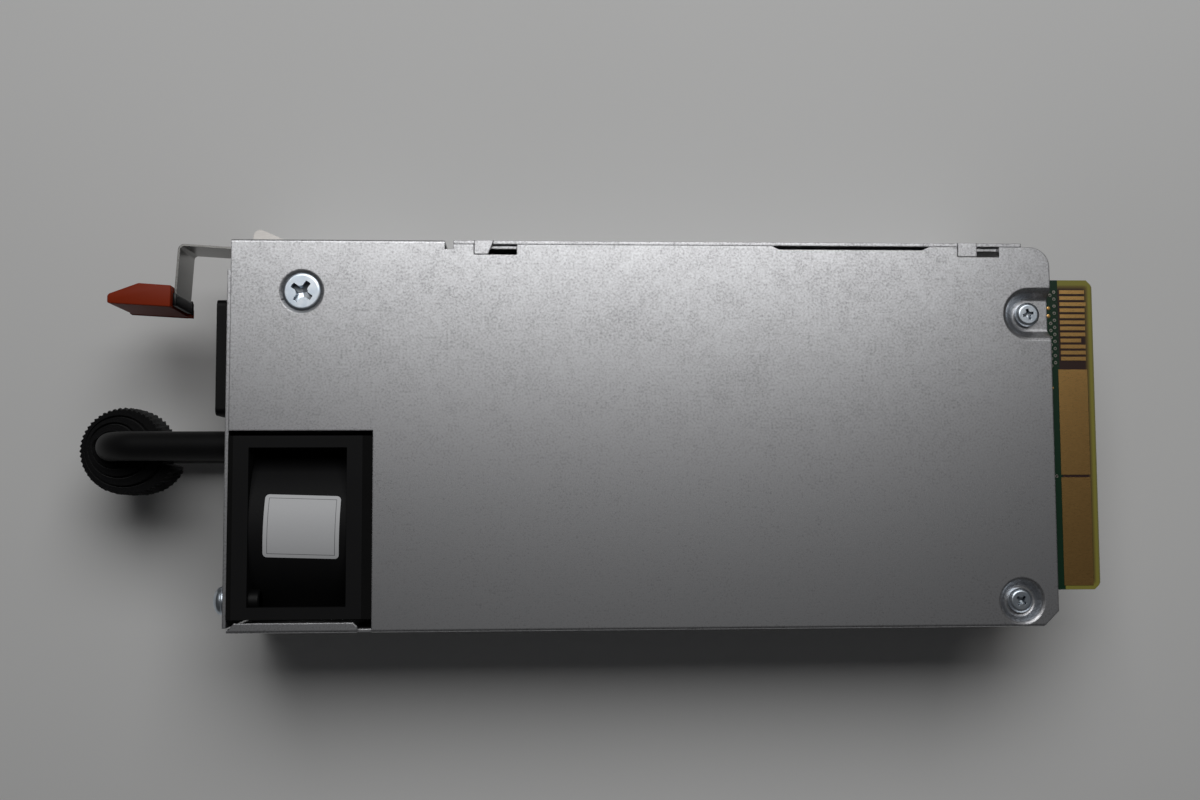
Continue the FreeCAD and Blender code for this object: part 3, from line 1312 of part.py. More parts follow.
def mains_filter():
    """Filter and input parts beside the inlet: chokes, capacitors, relay, fuse and rectifier."""
    chokes = [ring("filter_choke_%d" % number, along(distance), "filter_row", "choke_ring",
                   "choke_ring*0.36", BOARD_LOW + " - choke_height", "choke_height")
              for number, distance in ((1, "filter_start"), (2, "filter_start + filter_pitch"))]
    blocks = [hanging("x_capacitor_%d" % number, along(distance), "filter_row - choke_ring/2 - film_can",
                      "film_can*1.6", "film_can", "film_can*1.5")
              for number, distance in ((1, "filter_start"), (2, "filter_start + filter_pitch"))]
    relay = hanging("mains_relay", along("filter_start + 2*filter_pitch"), "filter_row", "relay_length",
                    "relay_width", "relay_width")
    body = along("filter_start + 2*filter_pitch")
    level = BOARD_LOW + " - fuse*0.9"
    row = "filter_row - relay_width/2 - fuse*0.56"
    tube = rod("fuse_tube", "X", (body + " - fuse*1.7*row_scale", row, level), "fuse*0.42",
               "fuse*3.4*row_scale")
    caps = [box("fuse_cap_%d" % number, (body + low + "*row_scale", body + high + "*row_scale"),
                (row + " - fuse/2", row + " + fuse/2"), (level + " - fuse/2", BOARD_LOW))
            for number, low, high in ((1, " - fuse*2", " - fuse*1.2"), (2, " + fuse*1.2", " + fuse*2"))]
    fuse_body = fuse("input_fuse", [tube] + caps)
    return [group("common_mode_chokes", chokes), group("x_capacitors", blocks), relay, fuse_body]


def finned_sink(label, across, up, length, fins):
    """Extruded heatsink standing on the board, with fins towards the right wall."""
    body = new_body(label)
    half = "%s*row_scale/2" % length
    tips = "%s - sink_reach" % up
    root = "%s - sink_thick" % up
    corners = [("%s - %s" % (across, half), up), ("%s + %s" % (across, half), up)]
    for number in range(fins):
        high = "%s + %s - %d*sink_fin_pitch*row_scale" % (across, half, number)
        low = high + " - sink_thick/2"
        corners += [(high, root), (high, tips), (low, tips), (low, root)]
    del corners[2]
    corners.append(("%s - %s" % (across, half), root))
    pad(body, outline(body, label + "_profile", "XY", corners, ("0", "0", BOARD_LOW + " - sink_height")),
        "sink_height")
    return body


def power_stage():
    """Boost choke, bulk capacitors, heatsinks, transistors and rectifier bridge."""
    bulk = group("bulk_capacitors", [can("bulk_can_%d" % number, along(distance), "-bulk_row", "bulk_can",
                                         "bulk_height")
                                     for number, distance in ((1, "bulk_start"),
                                                              (2, "bulk_start + bulk_can + can_edge"))])
    boost = ring("boost_choke", along("boost_start"), "-bulk_row", "boost_ring", "boost_ring*0.4",
                 BOARD_LOW + " - boost_height", "boost_height")
    sink = finned_sink("primary_heatsink", along("sink_start"), "sink_row", "sink_length", 5)
    face = "sink_row"
    chips = [hanging("transistor_%d" % number, along("sink_start + %s*sink_length" % share),
                     face + " + chip_thick/2", "chip_width", "chip_thick", "chip_height")
             for number, share in ((1, "(-0.38)"), (2, "(-0.14)"), (3, "0.1"))]
    bridge = hanging("bridge_rectifier", along("sink_start + 0.36*sink_length"),
                     face + " + chip_thick/2", "chip_width*1.3", "chip_thick", "chip_height*1.2")
    return [bulk, boost, sink, group("power_transistors", chips), bridge]


def output_stage():
    """Transformers, output choke, heatsink, capacitors, busbars and control card."""
    across = along("core_start")
    row = "-bulk_row"
    core = hanging("core_blank", across, row, "core_length", "core_width", "core_height")
    opening = "core_length*0.36*row_scale"
    window = box("core_window", (across + " - " + opening, across + " + " + opening),
                 (row + " - 0.55*core_width", row + " + 0.55*core_width"),
                 (BOARD_LOW + " - core_height*0.87", BOARD_LOW + " - core_height*0.13"))
    leg = rod("core_leg", "Z", (across, row, BOARD_LOW + " - core_height*0.9"),
              "core_width*0.21*row_scale", "core_height*0.8")
    core_form = fuse("transformer_core", [cut("core_shell", core, [window]), leg])
    winding = ring("transformer_winding", across, row, "core_length*0.70", "core_width*0.43",
                   BOARD_LOW + " - core_height*0.85", "core_height*0.70")
    standby = hanging("standby_transformer", along("standby_start"), "standby_row", "film_can*1.6",
                      "film_can*1.5", "film_can*1.6")
    choke = ring("output_choke", along("core_start"), "filter_row*0.55", "choke_ring",
                 "choke_ring*0.4", BOARD_LOW + " - choke_height*1.2", "choke_height*1.2")
    plate = along("output_start - output_can*1.4")
    secondary = hanging("secondary_heatsink", plate, "0", "sink_thick", "edge_half*1.7", "sink_height")
    cans = []
    pitch = "(edge_half*2 - output_can*1.6)/%d" % (OUTPUT_CANS - 1)
    for number in range(OUTPUT_CANS):
        up = "-edge_half + output_can*0.8 + %d*%s" % (number, pitch)
        cans.append(can("output_can_%d" % number, along("output_start"), up, "output_can", "output_height"))
    bars = [box("busbar_%d" % number,
                (along("output_start + output_can*0.7"), REAR + " - 2*gauge"),
                ("%s - bar_width/2" % up, "%s + bar_width/2" % up), (BOARD_LOW + " - bar_thick", BOARD_LOW))
            for number, up in ((1, "-edge_half/2"), (2, "edge_half/8"))]
    card = hanging("control_card", along("card_start"), "card_row", "card_length", "board_thick*0.7",
                   "card_height")
    chip = box("control_chip", (along("card_start - 0.2*card_length"), along("card_start + 0.2*card_length")),
               ("card_row - board_thick", "card_row - board_thick*0.35"),
               (BOARD_LOW + " - card_height*0.8", BOARD_LOW + " - card_height*0.3"))
    return [core_form, winding, standby, choke, secondary, group("output_capacitors", cans),
            group("busbars", bars), fuse("control_board", [card, chip])]


# ---------------------------------------------------------------------------------------------
# Build, check and write
def finish_covers():
    """Round the long folds once every other feature of the sheets is in place."""
    round_bend("chassis_tray", 1, size("case_height"))
    round_bend("chassis_tray", -1, size("case_height"))
    round_bend("cover_lid", 1, 0.0)


def build():
    """Make every node and return the finished objects."""
    nodes = [chassis_tray(), cover_lid(), front_plate(), rear_grille(), earth_screw(), board_screws(),
             board_nuts(), fan_screws(), latch_leaf(), latch_foot(), latch_rivets(), latch_barb(),
             latch_tab(), handle_bail(), cable_strap(), inlet_housing(), inlet_pins(), inlet_leads(),
             inlet_bracket(), status_lens(), fan_frame(), fan_rotor()]
    nodes += fan_motor()
    nodes += [fan_gaskets(), fan_bulkhead(), fan_lead(), fan_plug(), main_board(), edge_contacts(),
              insulator_sheet(), board_spacers()]
    nodes += mains_filter() + power_stage() + output_stage()
    return nodes


def check(nodes):
    """Stop if any object failed, or if a node has no valid solid."""
    broken = [item.Label for item in doc.Objects if "Invalid" in item.State or "Error" in item.State]
    for node in nodes:
        shape = node.Shape
        if shape.isNull() or not shape.isValid() or not shape.Solids:
            broken.append(node.Label)
    if broken:
        raise RuntimeError("failed: " + ", ".join(broken))


def write(nodes):
    """Write each node to its own STEP file."""
    os.makedirs("parts", exist_ok=True)
    for node in nodes:
        node.Shape.exportStep(os.path.join("parts", node.Label + ".step"))


made = build()
finish_covers()
doc.recompute()
check(made)
write(made)
print("nodes", len(made))
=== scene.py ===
"""Looks of a hot swap server power supply: finishes, fasteners, rolled strap, label and board detail.

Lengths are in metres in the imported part's frame: +X to the card edge, +Y to the latch, +Z up to the
chassis face. Sizes written with MM are millimetres.
"""

import logging
import math
from dataclasses import dataclass
from enum import Enum
from typing import Dict, Iterable, List, Optional, Sequence, Tuple

import bmesh
import bpy
from mathutils import Euler, Matrix, Vector


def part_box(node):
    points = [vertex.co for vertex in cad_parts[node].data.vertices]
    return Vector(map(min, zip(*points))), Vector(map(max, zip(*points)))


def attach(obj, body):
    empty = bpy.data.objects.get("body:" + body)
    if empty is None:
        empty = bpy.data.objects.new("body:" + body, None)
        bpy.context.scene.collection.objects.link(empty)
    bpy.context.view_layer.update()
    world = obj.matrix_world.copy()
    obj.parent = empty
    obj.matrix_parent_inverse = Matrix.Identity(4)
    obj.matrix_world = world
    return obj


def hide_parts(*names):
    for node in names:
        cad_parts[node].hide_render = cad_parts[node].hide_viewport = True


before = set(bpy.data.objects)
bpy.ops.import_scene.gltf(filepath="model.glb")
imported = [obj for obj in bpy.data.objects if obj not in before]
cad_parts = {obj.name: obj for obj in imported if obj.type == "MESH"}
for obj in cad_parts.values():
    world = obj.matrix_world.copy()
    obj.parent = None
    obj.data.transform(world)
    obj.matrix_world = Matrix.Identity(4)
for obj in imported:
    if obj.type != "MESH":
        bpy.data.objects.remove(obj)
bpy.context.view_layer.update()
MM = 0.001
# Points of a mesh that are closer than this, in metres, are one point.
MERGE = 1e-7

log = logging.getLogger("power_supply")
Point = Tuple[float, float, float]
Pair = Tuple[float, float]
Face = Tuple[int, ...]
Stops = Sequence[Tuple[float, str]]
Tree = bpy.types.NodeTree
Node = bpy.types.Node
Socket = bpy.types.NodeSocket


def linear(hex_code: str) -> Tuple[float, float, float, float]:
    """Turn an sRGB hex code into linear colour.

    Args:
        hex_code: Six hex digits after a hash.

    Returns:
        Linear red, green, blue and an alpha of one.
    """
    channels = [int(hex_code[start:start + 2], 16)/255 for start in (1, 3, 5)]
    return tuple(c/12.92 if c <= 0.04045 else ((c + 0.055)/1.055)**2.4 for c in channels) + (1.0,)


def add_node(tree: Tree, kind: str, values: Optional[Dict] = None,
             links: Optional[Dict] = None, **settings) -> Node:
    """Add one shader node.

    Args:
        tree: Node tree that takes the node.
        kind: Blender's name for the node's type, without its Shader prefix.
        values: Constants for input sockets, by name or number.
        links: Output sockets that feed input sockets, by name or number.
        settings: Properties of the node itself.

    Returns:
        The new node.
    """
    node = tree.nodes.new("Shader" + kind)
    for name, value in settings.items():
        setattr(node, name, value)
    for name, value in (values or {}).items():
        node.inputs[name].default_value = value
    for name, socket in (links or {}).items():
        tree.links.new(socket, node.inputs[name])
    return node


def per_size(millimetres: float) -> float:
    """Noise scale, per metre, whose features have that size in millimetres."""
    return 1000.0/millimetres


def set_stops(ramp: Node, stops: Stops) -> None:
    """Give a colour ramp its stops.

    Args:
        ramp: Colour ramp node.
        stops: Position and hex code of each stop, in order.
    """
    elements = ramp.color_ramp.elements
    while len(elements) < len(stops):
        elements.new(1.0)
    for element, (position, code) in zip(elements, stops):
        element.position = position
        element.color = linear(code)


# ----------------------------------------------------------------------------------------------
# Finishes
@dataclass(frozen=True)
class Ground:
    """What a finish is laid on: its tree and shader, the place on the part and the soft edges."""

    tree: Tree
    shader: Node
    place: Socket
    arris: Socket

    def noise(self, size: float, detail: float, **more: float) -> Socket:
        """Add a noise.

        Args:
            size: Size of its features, in millimetres.
            detail: Number of finer layers.
            more: Other constants of the noise, by socket name.

        Returns:
            Its value.
        """
        return add_node(self.tree, "NodeTexNoise",
                        {"Scale": per_size(size), "Detail": detail, **more},
                        {"Vector": self.place}).outputs["Fac"]

    def math(self, operation: str, values: Optional[Dict] = None,
             links: Optional[Dict] = None) -> Socket:
        """Add one step of arithmetic and return its result."""
        return add_node(self.tree, "NodeMath", values, links, operation=operation).outputs[0]

    def ramp(self, value: Socket, stops: Stops) -> Socket:
        """Turn a value into colour.

        Args:
            value: Value from nought to one.
            stops: Position and hex code of each stop, in order.

        Returns:
            The colour.
        """
        tone = add_node(self.tree, "NodeValToRGB", links={"Fac": value})
        set_stops(tone, stops)
        return tone.outputs[0]

    def spread(self, value: Socket, low: float, high: float) -> Socket:
        """Take a value's nought and one to low and high."""
        return add_node(self.tree, "NodeMapRange", {"To Min": low, "To Max": high},
                        {"Value": value}).outputs[0]

    def bump(self, height: Socket, strength: float, depth: float, soft: bool = True) -> Socket:
        """Raise the surface by a pattern.

        Args:
            height: Pattern's height, from nought to one.
            strength: Share of the relief that shows.
            depth: Height of the relief, in millimetres.
            soft: Whether the relief lies over the softened edges.

        Returns:
            The normal.
        """
        links = {"Height": height, "Normal": self.arris} if soft else {"Height": height}
        return add_node(self.tree, "NodeBump", {"Strength": strength, "Distance": depth*MM},
                        links).outputs[0]

    def feed(self, **sockets: Socket) -> None:
        """Link values to the shader.

        Args:
            sockets: Values for its base_color, roughness and normal.
        """
        for name, socket in sockets.items():
            title = name.replace("_", " ").title()
            self.tree.links.new(socket, self.shader.inputs[title])


@dataclass(frozen=True)
class Finish:
    """Colour, metal share and roughness that every finish starts from."""

    name: str
    colour: str
    roughness: float
    metallic: float = 0.0
    edge_radius: float = 0.12

    def material(self) -> bpy.types.Material:
        """Make the material, or find it again.

        Returns:
            A node material that is named for the real one.
        """
        known = bpy.data.materials.get(self.name)
        if known:
            return known
        made = bpy.data.materials.new(self.name)
        made.use_nodes = True
        tree = made.node_tree
        tree.nodes.clear()
        shader = add_node(tree, "NodeBsdfPrincipled",
                          {"Base Color": linear(self.colour), "Roughness": self.roughness,
                           "Metallic": self.metallic})
        add_node(tree, "NodeOutputMaterial", links={"Surface": shader.outputs[0]})
        place = add_node(tree, "NodeTexCoord").outputs["Object"]
        # A worn arris catches a thin line of light on every pressed or moulded edge.
        arris = add_node(tree, "NodeBevel", {"Radius": self.edge_radius*MM}, samples=4)
        self.dress(Ground(tree, shader, place, arris.outputs[0]))
        return made

    def dress(self, ground: Ground) -> None:
        """Add the finish's own pattern; the plain one only softens its edges."""
        ground.feed(normal=ground.arris)


@dataclass(frozen=True)
class GalvanisedSheet(Finish):
    """Skin-passed galvanised steel: dull zinc with a pebbled grain, small spangle and faint stains."""

    grain: float = 0.5
    spangle: float = 1.5
    cloud: float = 9.0
    spangle_share: float = 0.12
    cloud_share: float = 0.25
    span: Pair = (0.46, 0.91)
    swing: float = 0.05
    dark: str = "#9b9b9d"
    light: str = "#cfd0d2"

    def dress(self, ground: Ground) -> None:
        """Mottle the zinc at three sizes; the grain is drawn coarser than life so that it shows.

        Args:
            ground: What the finish is laid on.
        """
        fine = ground.noise(self.grain, 2.0, Roughness=0.7)
        cells = add_node(ground.tree, "NodeTexVoronoi", {"Scale": per_size(self.spangle)},
                         {"Vector": ground.place}, feature="F1")
        clouds = ground.noise(self.cloud, 5.0, Roughness=0.6)
        grained = ground.math("MULTIPLY_ADD", {1: self.spangle_share},
                              {0: cells.outputs["Color"], 2: fine})
        total = ground.math("MULTIPLY_ADD", {1: self.cloud_share}, {0: clouds, 2: grained})
        spread = add_node(ground.tree, "NodeMapRange",
                          {"From Min": self.span[0], "From Max": self.span[1]},
                          {"Value": total}).outputs[0]
        ground.feed(base_color=ground.ramp(spread, ((0.0, self.dark), (0.5, self.colour),
                                                    (1.0, self.light))),
                    roughness=ground.spread(spread, self.roughness + self.swing,
                                            self.roughness - self.swing),
                    normal=ground.bump(grained, 0.1, 0.02))


@dataclass(frozen=True)
class PlatedSteel(Finish):
    """Bright zinc plate with a blue passivate: smooth and faintly tinted, with painted shade in its
    hollows.
    """

    tint: str = "#b9c3cc"
    hollow_shade: str = "#1d2022"
    patch: float = 2.2
    scuff: float = 0.25
    hollow: float = 1.4

    def dress(self, ground: Ground) -> None:
        """Drift the passivate's tint over the plate and paint shade into the hollows.

        Args:
            ground: What the finish is laid on.
        """
        tone = ground.ramp(ground.noise(self.patch, 3.0), ((0.35, self.tint), (0.65, self.colour)))
        scuffs = ground.noise(self.scuff, 4.0)
        # Ambient occlusion mixes a near-black into the colour: painted shade in the recess arms and
        # pockets.
        hollow = add_node(ground.tree, "NodeAmbientOcclusion", {"Distance": self.hollow*MM},
                          {"Color": tone}, only_local=True)
        open_share = add_node(ground.tree, "NodeMapRange",
                              {"From Min": 0.1, "From Max": 0.7, "To Min": 0.12},
                              {"Value": hollow.outputs["AO"]})
        shaded = add_node(ground.tree, "NodeMix", {"A": linear(self.hollow_shade)},
                          {"Factor": open_share.outputs[0], "B": tone}, data_type="RGBA")
        ground.feed(base_color=shaded.outputs["Result"],
                    roughness=ground.spread(scuffs, self.roughness*0.7, self.roughness*1.4),
                    normal=ground.bump(scuffs, 0.15, 0.01))


class Grain(Enum):
    """Direction in which a rolled, drawn or wiped surface is streaked."""

    ALONG_X = (0.04, 1.0, 1.0)
    ALONG_Z = (1.0, 1.0, 0.04)


@dataclass(frozen=True)
class StreakedMetal(Finish):
    """Rolled, drawn or wiped metal: fine streaks along the direction it was worked in."""

    streak: float = 0.12
    grain: Grain = Grain.ALONG_X
    dark: str = "#6d6d6c"
    depth: float = 0.01

    def dress(self, ground: Ground) -> None:
        """Stretch a fine noise along the grain.

        Args:
            ground: What the finish is laid on.
        """
        stretched = add_node(ground.tree, "NodeVectorMath", {1: self.grain.value},
                             {0: ground.place}, operation="MULTIPLY")
        lines = add_node(ground.tree, "NodeTexNoise",
                         {"Scale": per_size(self.streak), "Detail": 3.0},
                         {"Vector": stretched.outputs[0]}).outputs["Fac"]
        ground.feed(base_color=ground.ramp(lines, ((0.25, self.dark), (0.6, self.colour))),
                    roughness=ground.spread(lines, self.roughness - 0.08, self.roughness + 0.1),
                    normal=ground.bump(lines, 0.2, self.depth))


@dataclass(frozen=True)
class Moulding(Finish):
    """Moulded plastic, foam or powder coat: an even body colour under a fine textured skin."""

    texture: float = 0.22
    depth: float = 0.02
    shade: float = 0.75
    drift: float = 6.0
    shine: float = 0.5
    sheen: float = 0.0

    def dress(self, ground: Ground) -> None:
        """Roughen the skin with the tool's texture and vary the colour a little.

        Args:
            ground: What the finish is laid on.
        """
        skin = ground.noise(self.texture, 3.0, Roughness=0.6)
        body = linear(self.colour)
        deep = tuple(channel*self.shade for channel in body[:3]) + (1.0,)
        tone = add_node(ground.tree, "NodeMix", {"A": deep, "B": body},
                        {"Factor": ground.noise(self.drift, 2.0)}, data_type="RGBA")
        ground.shader.inputs["Specular IOR Level"].default_value = self.shine
        ground.shader.inputs["Sheen Weight"].default_value = self.sheen
        ground.feed(base_color=tone.outputs["Result"],
                    roughness=ground.spread(skin, self.roughness - 0.08, self.roughness + 0.08),
                    normal=ground.bump(skin, 0.5, self.depth))


@dataclass(frozen=True)
class WovenTape(Finish):
    """Hook-and-loop tape: a dull cloth back with short stiff loops that break up the light."""

    pile: float = 0.35
    fibre: float = 0.18
    worn: str = "#121213"

    def dress(self, ground: Ground) -> None:
        """Lay a knobbly pile over the tape, with a faint sheen on the tips.

        Args:
            ground: What the finish is laid on.
        """
        loops = add_node(ground.tree, "NodeTexVoronoi", {"Scale": per_size(self.pile)},
                         {"Vector": ground.place}, feature="F1").outputs["Distance"]
        pile = ground.math("SUBTRACT", links={0: loops, 1: ground.noise(self.fibre, 4.0)})
        inputs = ground.shader.inputs
        inputs["Sheen Weight"].default_value = 0.06
        inputs["Specular IOR Level"].default_value = 0.2
        inputs["Sheen Roughness"].default_value = 0.5
        ground.feed(base_color=ground.ramp(loops, ((0.0, self.worn), (0.6, self.colour))),
                    normal=ground.bump(pile, 0.8, 0.12, soft=False))


@dataclass(frozen=True)
class CircuitLaminate(Finish):
    """Glass epoxy board: dark green solder mask, and bare laminate at the card edge.

    The bare laminate is dark brown over the inner copper and olive in the copper-free rim, where
    light comes through the glass cloth.
    """

    mask_end: float = 0.0944
    edge: Pair = (0.1026, 0.0351)
    corner: float = 1.2
    rim: Pair = (1.0, 2.2)
    crest: str = "#0b3820"
    bare: str = "#34211c"
    amber: str = "#6d5c2e"
    clear: str = "#8f893c"
    weave: float = 0.45

    def rim_distance(self, ground: Ground, axes: Node) -> Socket:
        """Measure how far in from the card's edge a point lies.

        Args:
            ground: What the finish is laid on.
            axes: Node that splits the place into its axes.

        Returns:
            Distance from the nearest edge, in metres.
        """
        end = ground.math("SUBTRACT", {0: self.edge[0]}, {1: axes.outputs["X"]})
        across = ground.math("ABSOLUTE", links={0: axes.outputs["Y"]})
        side = ground.math("SUBTRACT", {0: self.edge[1]}, {1: across})
        return ground.math("SMOOTH_MIN", {2: self.corner*MM}, {0: end, 1: side})

    def dress(self, ground: Ground) -> None:
        """Change from mask to bare laminate along X and show the glass cloth through both.

        Args:
            ground: What the finish is laid on.
        """
        tree = ground.tree
        axes = add_node(tree, "NodeSeparateXYZ", links={0: ground.place})
        edge = ground.math("GREATER_THAN", {1: self.mask_end}, {0: axes.outputs["X"]})
        warp, weft = (add_node(tree, "NodeTexWave", {"Scale": per_size(self.weave)*0.5},
                               {"Vector": ground.place}, wave_type="BANDS", bands_direction=axis)
                      for axis in "XY")
        cloth = ground.math("MULTIPLY", links={0: warp.outputs["Fac"], 1: weft.outputs["Fac"]})
        mask = ground.ramp(cloth, ((0.0, self.colour), (1.0, self.crest)))
        within = add_node(tree, "NodeMapRange",
                          {"From Min": self.rim[0]*MM, "From Max": self.rim[1]*MM},
                          {"Value": self.rim_distance(ground, axes)})
        resin = ground.ramp(within.outputs[0],
                            ((0.0, self.clear), (0.45, self.amber), (1.0, self.bare)))
        woven = add_node(tree, "NodeVectorMath",
                         links={0: resin, "Scale": ground.spread(cloth, 0.9, 1.08)},
                         operation="SCALE")
        tone = add_node(tree, "NodeMix", links={"Factor": edge, "A": mask, "B": woven.outputs[0]},
                        data_type="RGBA")
        ground.shader.inputs["Specular IOR Level"].default_value = 0.3
        ground.feed(base_color=tone.outputs["Result"], normal=ground.bump(cloth, 0.15, 0.02))


@dataclass(frozen=True)
class ClearMoulding(Finish):
    """Clear polycarbonate light pipe: glossy, slightly milky, mostly seen through."""

    flow: float = 1.5
    haze: float = 0.3

    def dress(self, ground: Ground) -> None:
        """Let light through and vary the face's haze slightly.

        Args:
            ground: What the finish is laid on.
        """
        ground.shader.inputs["Transmission Weight"].default_value = 0.85
        ground.shader.inputs["IOR"].default_value = 1.58
        flow = ground.noise(self.flow, 1.0)
        ground.feed(roughness=ground.spread(flow, self.roughness, self.haze),
                    normal=ground.arris)


@dataclass(frozen=True)
class LabelFace(Finish):
    """Plain printed polyester label: pale satin face with one thin grey rule inside its border."""

    centre: Point = (0.0, 0.0, 0.0)
    half: Pair = (0.0, 0.0)
    turn: float = 0.0
    rule: float = 0.12
    inset: float = 0.9
    fibre: float = 0.4
    ink: str = "#6c6d70"
    grey: str = "#cfd0d2"

    def dress(self, ground: Ground) -> None:
        """Print the rule and dent the film slightly.

        Args:
            ground: What the finish is laid on.
        """
        tree = ground.tree
        local = add_node(tree, "NodeVectorMath", {1: self.centre}, {0: ground.place},
                         operation="SUBTRACT")
        square = add_node(tree, "NodeVectorRotate", {"Angle": -math.radians(self.turn)},
                          {"Vector": local.outputs[0]}, rotation_type="Z_AXIS")
        size = add_node(tree, "NodeVectorMath", links={0: square.outputs[0]}, operation="ABSOLUTE")
        axes = add_node(tree, "NodeSeparateXYZ", links={0: size.outputs[0]})
        room_x, room_y = (ground.math("SUBTRACT", {1: half - self.inset*MM}, {0: axes.outputs[axis]})
                          for axis, half in zip("XY", self.half))
        outer = ground.math("MAXIMUM", links={0: room_x, 1: room_y})
        gap = ground.math("ABSOLUTE", links={0: outer})
        line = ground.math("LESS_THAN", {1: self.rule*MM/2}, {0: gap})
        fibre = ground.noise(self.fibre, 3.0)
        paper = ground.ramp(fibre, ((0.3, self.grey), (0.7, self.colour)))
        tone = add_node(tree, "NodeMix", {"B": linear(self.ink)}, {"Factor": line, "A": paper},
                        data_type="RGBA")
        ground.feed(base_color=tone.outputs["Result"],
                    normal=ground.bump(fibre, 0.2, 0.02, soft=False))


# Zinc sheet that left the mill with a rolled-on texture: a dull, pebbled grey, light under the lamp.
ZINC_SHEET = GalvanisedSheet("skin_passed_zinc_sheet", "#c0c0c2", 0.35, metallic=0.95,
                             edge_radius=0.35)
# The same sheet where nothing rubs it: greyer and duller.
INNER_SHEET = GalvanisedSheet("galvanised_inner_sheet", "#b4b4b6", 0.44, metallic=0.95)
# Electroplated and blue passivated: brighter and cooler than the sheet round it.
BRIGHT_ZINC = PlatedSteel("bright_zinc_plate", "#dae1e8", 0.32, metallic=1.0, edge_radius=0.06,
                          tint="#c6d1dc")
# Grey steel for the split ring on the dimple's cone: painted shade that parts the screw from the
# sheet.
SHADE_RING_STEEL = StreakedMetal("grey_ring_painted_shade", "#a2a4a7", 0.5, metallic=0.9, edge_radius=0.05,
                           streak=0.3, dark="#74767a")
# Spring steel rubbed bright by the bay's catch: pale and slightly warm.
BURNISHED_STEEL = StreakedMetal("burnished_spring_steel", "#cfccc8", 0.42, metallic=0.9,
                                edge_radius=0.1, streak=0.1, dark="#b5b1ad")
# Bare rolled strip: darker and smoother than zinc, streaked along its length.
SPRING_STRIP = StreakedMetal("rolled_spring_strip", "#8f8e8b", 0.32, metallic=1.0, edge_radius=0.14,
                             dark="#737270")
# Baked powder on the bar: a soft black with a broad, weak highlight.
POWDER_COAT = Moulding("black_powder_coat", "#0a0a0b", 0.6, texture=0.3, depth=0.012, shine=0.12,
                       sheen=0.12)
# Pigmented nylon from a spark-eroded tool: an even terracotta with next to no shine.
AMBER = Moulding("orange_brown_moulding", "#923013", 0.45, texture=0.25, depth=0.02, shade=0.86,
                 edge_radius=0.25, shine=0.14)
# Glass-filled black plastic: matt, with a fine texture.
BLACK_MOULDING = Moulding("black_filled_moulding", "#0a0a0b", 0.5, texture=0.25, shine=0.2)
# Black plastic with a shallow skin: smooth, dull walls that go slightly grey under the lamp.
GLOSS_MOULDING = Moulding("black_smooth_moulding", "#161617", 0.6, texture=0.5, depth=0.006,
                          shine=0.14)
# Black piece at the leaf's bend into the tab: painted shade where the leaf mirrors the tab's shadow,
# with one narrow highlight along its edge.
LEAF_ROOT_SHADE = Moulding("black_leaf_root_painted_shade", "#0a0b0c", 0.3, texture=0.5, depth=0.01, shine=0.35)
# Open-cell foam: swallows light between its cells.
FOAM = Moulding("black_cell_foam", "#151515", 0.9, texture=0.35, depth=0.12, shine=0.1)
# Woven nylon with a loop pile: nearly black, with no clean highlight.
TAPE = WovenTape("black_hook_and_loop_tape", "#060607", 0.85)
# Solder mask over glass cloth: a dark green that shows the weave only faintly.
LAMINATE = CircuitLaminate("glass_epoxy_laminate", "#062a17", 0.4)
# Hard gold wiped by the socket's springs: a warm satin with very faint wipe lines.
GOLD = StreakedMetal("worn_gold_plate", "#dcae6c", 0.29, metallic=1.0, edge_radius=0.03,
                     streak=0.03, dark="#d2a564", depth=0.0005)
# Clear plastic with a little haze: shows what is behind it.
CLEAR = ClearMoulding("clear_light_pipe", "#dfe4e4", 0.12)
# Calendered film: black and fairly glossy, with long low waves.
FILM = Moulding("black_insulating_film", "#131314", 0.3, texture=1.5, depth=0.01)
# Brass strip tinned before it was cut: a warm pale grey with rolling lines.
TINNED = StreakedMetal("rolled_tinned_brass", "#b9b5aa", 0.3, metallic=1.0, streak=0.15,
                       dark="#97938a")
# Extruded wire cover: smooth and softly glossy.
SLEEVE = Moulding("extruded_wire_sleeve", "#151517", 0.38, texture=0.6, depth=0.008)
# Pressed and fired oxide: charcoal, dry and gritty.
FERRITE = Moulding("sintered_ferrite", "#2a2a2c", 0.55, texture=0.18, depth=0.03, shine=0.4)
# Enamelled wire laid turn by turn: copper red with dark gaps between the turns.
COPPER_WIRE = StreakedMetal("enamelled_copper_wire", "#a3552a", 0.28, metallic=0.8, streak=0.3,
                            grain=Grain.ALONG_Z, dark="#5f2a12")
# Sleeve shrunk over the can: a blue black with a tight gloss.
CAN_SLEEVE = Moulding("shrunk_can_sleeve", "#1a1c24", 0.3, texture=0.8, depth=0.008)
# Extruded fins: pale metal with die lines.
ALUMINIUM = StreakedMetal("extruded_aluminium", "#bfc0c2", 0.36, metallic=1.0, streak=0.2,
                          dark="#9a9b9d")
# Cast yellow case: an even ochre with a fine skin.
YELLOW_CASE = Moulding("yellow_film_capacitor_case", "#b8912f", 0.4, texture=0.4, depth=0.015)
# Epoxy from a sand-blasted mould: dark grey and dusty.
COMPOUND = Moulding("epoxy_moulding_compound", "#1c1c1e", 0.6, texture=0.15, depth=0.02, shine=0.35)

